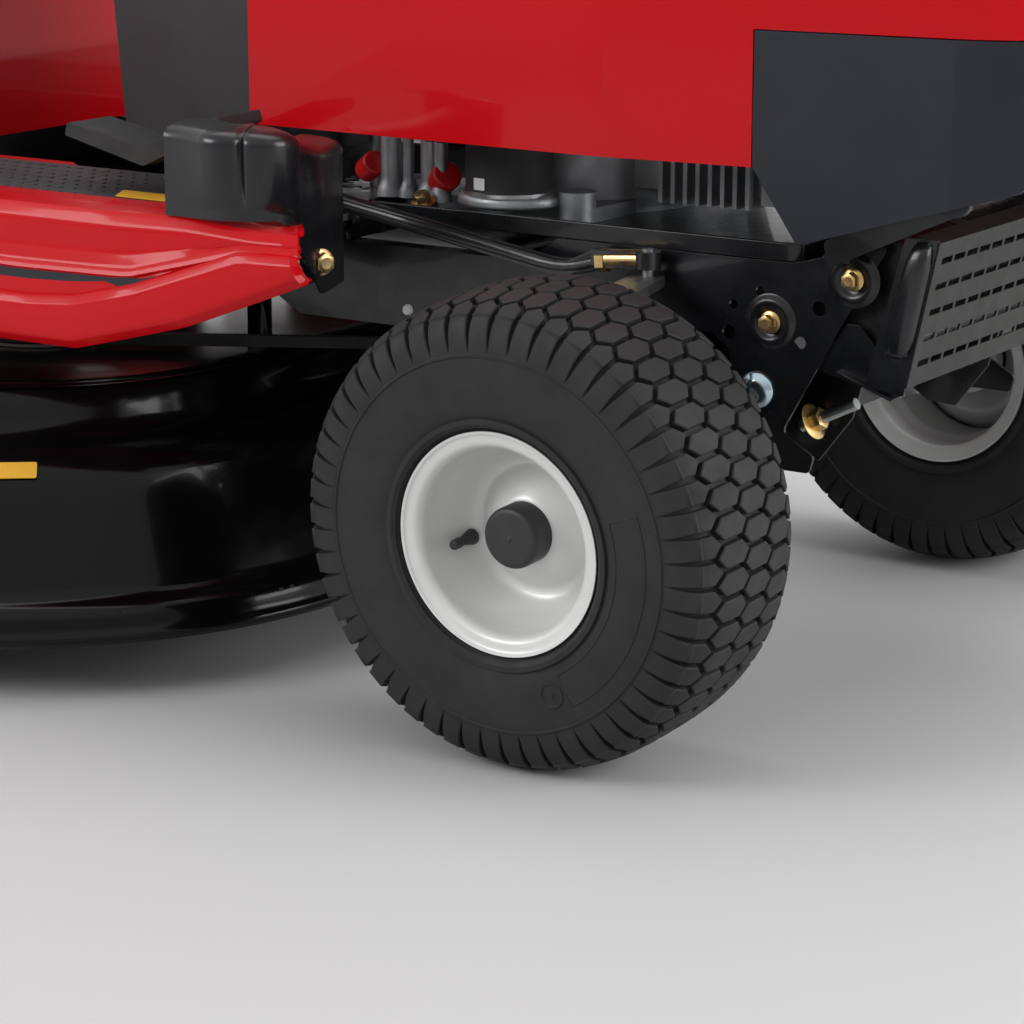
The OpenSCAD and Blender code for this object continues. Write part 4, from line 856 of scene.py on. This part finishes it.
def shieldSheet(side):
    corners = [Vector((x, side * 199.5, z)) for x, z in noseDetail["shield"]]

    def spot(u, v):
        base = corners[0].lerp(corners[1], v).lerp(corners[3].lerp(corners[2], v), u)
        a, b = abs((u - 0.58) / 0.34), abs((v - 0.4) / 0.37)
        dome = max(0.0, 1 - (a ** 3 + b ** 4)) ** 0.5
        return base + Vector((0, side * 10 * dome, 0))
    return sheet(28, 48, spot, 1.6)


def buildNoseDetail():
    mesh = bmesh.new()
    for side in (-1, 1):
        for x, z in noseDetail["bolts"]:
            dish = lathe(softLine([(7, 0.3), (10, 0.6), (14, 3.2), (18, 3.4), (22, 0.4), (23, 0)],
                                  [0, 1.5, 1.5, 1.5, 1, 0],
                                  3), 48)
            absorb(mesh, dish, aim((x, side * 190, z), (0, side, 0)))
            absorb(mesh, hexBolt(12, 8, 9), aim((x, side * 190.3, z), (0, side, 0)), 1)
        x, z = noseDetail["mushroom"]
        dome = lathe(softLine([(0, 9), (8, 7.5), (14.5, 3), (15.5, 1.2), (15, 0), (0, 0)],
                              [0, 4, 2, 0.6, 0.3, 0], 4), 48)
        absorb(mesh, dome, aim((x, side * 190, z), (0, side, 0)), 2)
        absorb(mesh, sweep([(279, side * 190, 299), (279, side * 193, 299)], [5, 4], 20), None, 3)
        absorb(mesh, shieldSheet(side))
        upright = Matrix.Translation((0, side * 0.172, 0)) @ Matrix.Rotation(radians(90), 4, "X")
        absorb(mesh, slab(noseDetail["brace"], 3, 0.5), upright)
        absorb(mesh, slab(noseDetail["tip"], 3, 0.5), Matrix.Translation((0, -side * 0.045, 0)) @ upright)
        fold = slab([(0, 0), (52, 0), (52, 26), (0, 26)], 2, 0.4)
        absorb(mesh, fold, aim((694, side * 198, 292), (0.35, 0, 1), radians(side * 90)))
    rod = noseDetail["rod"]
    start, end = Vector(rod["from"]), Vector(rod["to"])
    absorb(mesh, sweep([start, end], 4.8, 20), None, 4)
    absorb(mesh, hexBolt(16, 9, 15), aim(start.lerp(end, 0.2), end - start), 1)
    return makePiece("nose_bolts", mesh, ["frame_black", "yellow_zinc", "blue_zinc", "label_white",
                                          "zinc_steel"],
                     "chassis", sharp=34)


buildNoseDetail()
print("steering bar and nose bolts built")


deck = {
    "centre": (-100, 232),
    # half section from the lip to the crown, (radius, height)
    "profile": [(336, 52), (345, 50), (348, 54), (344, 60), (341, 76), (326, 82), (292, 168), (284, 184),
                (262, 194),
                (232, 200), (219, 232), (210, 240), (120, 240), (24, 240)],
    "ease": [0, 0, 2, 4, 9, 9, 14, 14, 12, 14, 12, 12, 0, 0],
    "wall": 2.6, "steps": 180,
    "mouth": {"half": 130, "low": 92, "high": 162},
    "slots": [-64, -38, -12, 14, 40],   # round the lip, degrees from straight ahead
}


def buildDeck():
    x0, y0 = deck["centre"]
    shell = lathe(walled(softLine(deck["profile"], deck["ease"], 5), -deck["wall"]), deck["steps"],
                  closed=True)
    bmesh.ops.rotate(shell, cent=(0, 0, 0), matrix=Matrix.Rotation(pi / deck["steps"], 3, "Z"),
                     verts=shell.verts)
    for vert in shell.verts:
        vert.co.y += y0 * mm * (1 if vert.co.y > 0 else -1)
    mouth = deck["mouth"]
    for co, no in (((0, mouth["half"] * mm, 0), (0, 1, 0)), ((0, -mouth["half"] * mm, 0), (0, 1, 0)),
                   ((0, 0, mouth["low"] * mm), (0, 0, 1)), ((0, 0, mouth["high"] * mm), (0, 0, 1))):
        bmesh.ops.bisect_plane(shell, geom=shell.verts[:] + shell.edges[:] + shell.faces[:], dist=1e-7,
                               plane_co=co,
                               plane_no=no)
    inside = []
    for face in shell.faces:
        c = face.calc_center_median()
        if c.x < -0.2 and abs(c.y) < mouth["half"] * mm and mouth["low"] * mm < c.z < mouth["high"] * mm:
            inside.append(face)
    bmesh.ops.delete(shell, geom=inside, context="FACES")
    rims = [e for e in shell.edges if e.is_boundary]
    if rims:
        bmesh.ops.bridge_loops(shell, edges=rims)
    bmesh.ops.recalc_face_normals(shell, faces=shell.faces)
    mesh = bmesh.new()
    absorb(mesh, shell, Matrix.Translation((x0 * mm, 0, 0)))
    # the hanging ears come from the frame's own shape, the flap's pin is drawn again
    ears = frameShape("deck_shell")
    keep = {f for f in ears.faces if all(v.co.z > 0.2385 for v in f.verts) and f.calc_area() < 0.004}
    bmesh.ops.delete(ears, geom=[f for f in ears.faces if f not in keep], context="FACES")
    absorb(mesh, ears)
    bracket = bmesh.new()
    absorb(bracket, sweep([(x0 - 332, -142, 176), (x0 - 332, 142, 176)], 4, 16))
    for side in (-1, 1):
        tab = slab([(-8, -8), (40, -8), (48, 8), (-8, 8)], 3, 0.5)
        absorb(bracket, tab, Matrix.Translation(((x0 - 332) * mm, (side * 140 + 1.5) * mm, 0.176))
               @ Matrix.Rotation(radians(90), 4, "X"))
    absorb(mesh, bracket)
    for side in (-1, 1):
        for a in deck["slots"]:
            t = radians(a) * 1.0
            out = Vector((cos(t), side * abs(sin(t)) if a < 0 else side * sin(t), 0))
            spot = Vector((x0, side * y0, 66)) + out * 342.4
            slot = slab(softLine([(-9, -2.4), (9, -2.4), (9, 2.4), (-9, 2.4)], 2.3, 4, True), 1.2, 0.3)
            absorb(mesh, slot, aim(spot, out, radians(90)), 2)
        mark = slab(softLine([(-16, -8), (16, -8), (16, 8), (-16, 8)], 2, 3, True), 0.8)
        t = radians(53)
        spot = (x0 + 287 * cos(t), side * (y0 + 287 * sin(t)), 184.5)
        absorb(mesh, mark, aim(spot, (cos(t), side * sin(t), 1.1)), 1)
    return makePiece("mower_deck", mesh, ["deck_black", "label_yellow", "shadow_black"], bodyOf["deck_shell"],
                     ["deck_shell"], sharp=34)


buildDeck()
print("deck built")

engineDetail = {
    "filter": {"at": (352, -143), "line": [(0, 400), (30, 398), (38, 400), (38.4, 403), (37.6, 405),
                                           (37.6, 470),
                                          (34, 478), (20, 480), (0, 480)]},
    "dish": {"at": (350, -132), "line": [(0, 389), (45, 389), (49, 391), (49, 397), (46, 401), (41, 404),
                                         (0, 404)]},
    "columns": [(234, -150, 9, 450), (252, -150, 5, 450), (276, -152, 8, 440), (290, -156, 6, 440)],
    "caps": [(212, -150, 412, 11), (288, -150, 407, 13)],
    "cover": {"x": (-60, 250), "half": 145, "z": 316},
}


def buildEngineDetail():
    mesh = bmesh.new()
    can, dish = engineDetail["filter"], engineDetail["dish"]
    absorb(mesh, lathe(softLine(can["line"], [0, 2, 1, 1, 0.6, 1, 4, 4, 0], 3), 64),
           Matrix.Translation((can["at"][0] * mm, can["at"][1] * mm, 0)), 1)
    absorb(mesh, lathe([(37.8, 399), (39.4, 400), (39.4, 403), (37.8, 404)], 64, closed=True),
           Matrix.Translation((can["at"][0] * mm, can["at"][1] * mm, 0)), 4)
    absorb(mesh, lathe(softLine(dish["line"], [0, 2, 2, 2, 4, 4, 0], 4), 64),
           Matrix.Translation((dish["at"][0] * mm, dish["at"][1] * mm, 0)))
    tag = slab(softLine([(-6, -5), (6, -5), (6, 5), (-6, 5)], 1, 2, True), 0.5)
    absorb(mesh, tag, aim((can["at"][0] - 6, can["at"][1] - 37.4, 411), (-0.16, -1, 0)), 3)
    for x, y, radius, top in engineDetail["columns"]:
        absorb(mesh, lathe(softLine([(radius + 4, 389), (radius + 3, 396), (radius, 402), (radius, top),
                                     (0, top)],
                                    [0, 2, 4, 1, 0], 3), 32), Matrix.Translation((x * mm, y * mm, 0)))
    for x, y, z, radius in engineDetail["caps"]:
        absorb(mesh, lathe(softLine([(0, 13), (radius, 13), (radius, -10), (radius * 0.7, -14), (0, -14)],
                                    [0, 3, 2, 2, 0], 3), 32), aim((x, y, z), (0.8, -0.5, 0.45)), 2)
    absorb(mesh, hexBolt(13, 8, 11), aim((283, -172, 389), (0, -0.5, 1)), 5)
    cover = engineDetail["cover"]
    (xa, xb), half = cover["x"], cover["half"]
    plate = slab(softLine([(xa, -half), (xb, -half), (xb, half), (xa, half)], 20, 4, True), 2, 0.5)
    absorb(mesh, plate, Matrix.Translation((0, 0, cover["z"] * mm)), 6)
    return makePiece("engine_fittings", mesh, ["cast_aluminium", "soft_black", "red_cap", "label_white",
                                               "zinc_steel",
                                               "yellow_zinc", "frame_black"], "chassis", sharp=36)


buildEngineDetail()
print("engine fittings built")

cushion = {
    "voxel": 0.006, "start": 0.009, "limit": 0.024, "frames": 20, "pressure": 4.0,
    "channels": [(-430, 0), (-500, 0), (-570, 0), (0, 790), (0, 860)],   # sewn lines: at that x, or at that z
    "seam": 168,              # half the distance between the two piped seams
}


def relax(bm, times):
    for step in range(times):
        bmesh.ops.smooth_vert(bm, verts=bm.verts, factor=0.5, use_axis_x=True, use_axis_y=True,
                              use_axis_z=True)


def buildCushion():
    bm = frameShape("seat_cushion")
    raw = link("cushion_core", bpy.data.meshes.new("cushion_core"))
    bm.to_mesh(raw.data)
    bm.free()
    remesh = raw.modifiers.new("voxels", "REMESH")
    remesh.mode = "VOXEL"
    remesh.voxel_size = cushion["voxel"]

    def applied(source):
        graph = bpy.context.evaluated_depsgraph_get()
        return bpy.data.meshes.new_from_object(source.evaluated_get(graph))

    data = applied(raw)
    raw.modifiers.clear()
    bm = bmesh.new()
    bm.from_mesh(data)
    relax(bm, 4)
    bm.normal_update()
    for vert in bm.verts:
        vert.co -= vert.normal * cushion["start"]
    relax(bm, 2)
    bm.normal_update()
    start = [v.co.copy() for v in bm.verts]
    held = [v.index for v in bm.verts if v.normal.z < -0.6 or v.normal.x < -0.7]
    bm.to_mesh(raw.data)
    bm.free()
    pins = raw.vertex_groups.new(name="held")
    pins.add(held, 1.0, "REPLACE")
    cloth = raw.modifiers.new("filling", "CLOTH")
    cloth.settings.quality = 6
    cloth.settings.mass = 0.35
    cloth.settings.tension_stiffness = 14
    cloth.settings.compression_stiffness = 14
    cloth.settings.bending_stiffness = 2
    cloth.settings.vertex_group_mass = "held"
    cloth.settings.use_pressure = True
    cloth.settings.uniform_pressure_force = cushion["pressure"]
    cloth.settings.effector_weights.gravity = 0
    for step in range(1, cushion["frames"] + 1):
        bpy.context.scene.frame_set(step)
    data = applied(raw)
    bpy.context.scene.frame_set(1)
    raw.modifiers.clear()
    raw.data = data
    bm = bmesh.new()
    bm.from_mesh(raw.data)
    bpy.data.objects.remove(raw)
    bm.verts.ensure_lookup_table()
    for vert, first in zip(bm.verts, start):
        move = vert.co - first
        if move.length > cushion["limit"]:
            vert.co = first + move * (cushion["limit"] / move.length)
    bm.normal_update()
    for vert in bm.verts:
        x, y, z = vert.co / mm
        sewn = 0.0
        for atX, atZ in cushion["channels"]:
            if atX and vert.normal.z > 0.4 and abs(y) < cushion["seam"]:
                sewn = max(sewn, 1 - abs(x - atX) / 12)
            if atZ and vert.normal.x > 0.4 and abs(y) < cushion["seam"]:
                sewn = max(sewn, 1 - abs(z - atZ) / 12)
        edge = max(0.0, 1 - abs(abs(y) - cushion["seam"]) / 9)
        vert.co -= vert.normal * (5.5 * max(0.0, sewn) ** 1.5 + 3.0 * edge ** 1.5) * mm
    piping = bmesh.new()
    for side in (-1, 1):
        cut = bm.copy()
        made = bmesh.ops.bisect_plane(cut, geom=cut.verts[:] + cut.edges[:] + cut.faces[:], dist=1e-6,
                                      plane_co=(0, side * cushion["seam"] * mm, 0), plane_no=(0, 1,
                                              0))["geom_cut"]
        edges = {e for e in made if isinstance(e, bmesh.types.BMEdge)}
        loop = []
        here = next(iter(sorted(edges, key=lambda e: e.verts[0].co.z))).verts[0]
        while True:
            loop.append(here.co / mm)
            onward = [e for e in here.link_edges if e in edges]
            if not onward:
                break
            edges.discard(onward[0])
            here = onward[0].other_vert(here)
        absorb(piping, sweep(loop[::3] + [loop[0]], 3.0, 10, ends=False))
        cut.free()
    mesh = bmesh.new()
    absorb(mesh, bm)
    absorb(mesh, piping, None, 1)
    piece = makePiece("seat_padding", mesh, ["seat_vinyl", "soft_black"], bodyOf["seat_cushion"],
                      ["seat_cushion"],
                      sharp=180)
    smooth = piece.modifiers.new("finer", "SUBSURF")
    smooth.levels = smooth.render_levels = 1
    return piece


buildCushion()
print("seat cushion built")

eased = {
    "rail_right": 0.8, "rail_left": 0.8, "front_bracket": 0.5, "engine_tray": 1.2, "hitch_plate": 0.8,
    "axle_beam": 2.0, "dash_console": 2.5, "muffler_guard": 0.5, "battery": 2.0, "fuel_tank": 4.0,
    "brake_pedal": 1.5, "drive_pedal": 2.0, "seat_pan": 1.0, "hood": 0.8, "nose_fascia": 0.8,
    "rear_fender": 0.8,
    "steering_wheel": 1.5, "lift_lever": 1.5, "engine_block": 2.0, "blower_housing": 3.0, "starter_motor": 1.5,
    "transaxle": 2.0, "muffler": 2.0, "deck_spindles": 1.0, "deck_flap": 0.8, "blade_right": 0.5,
    "blade_left": 0.5,
    "knuckle_right": 0.8, "knuckle_left": 0.8, "tie_rod": 0.6, "front_links": 0.8, "steering_bracket": 0.8,
    "fuel_cap": 1.0, "pto_knob": 1.0, "throttle_lever": 0.8, "ignition_key": 0.5, "headlight_lenses": 0.8,
}
for name, ease in eased.items():
    softCopy(name, ease)
for name, node in nodes.items():
    node.data.materials.clear()
    node.data.materials.append(finish[slotOf[name]])
    for face in node.data.polygons:
        face.material_index = 0
print("frame pieces finished")
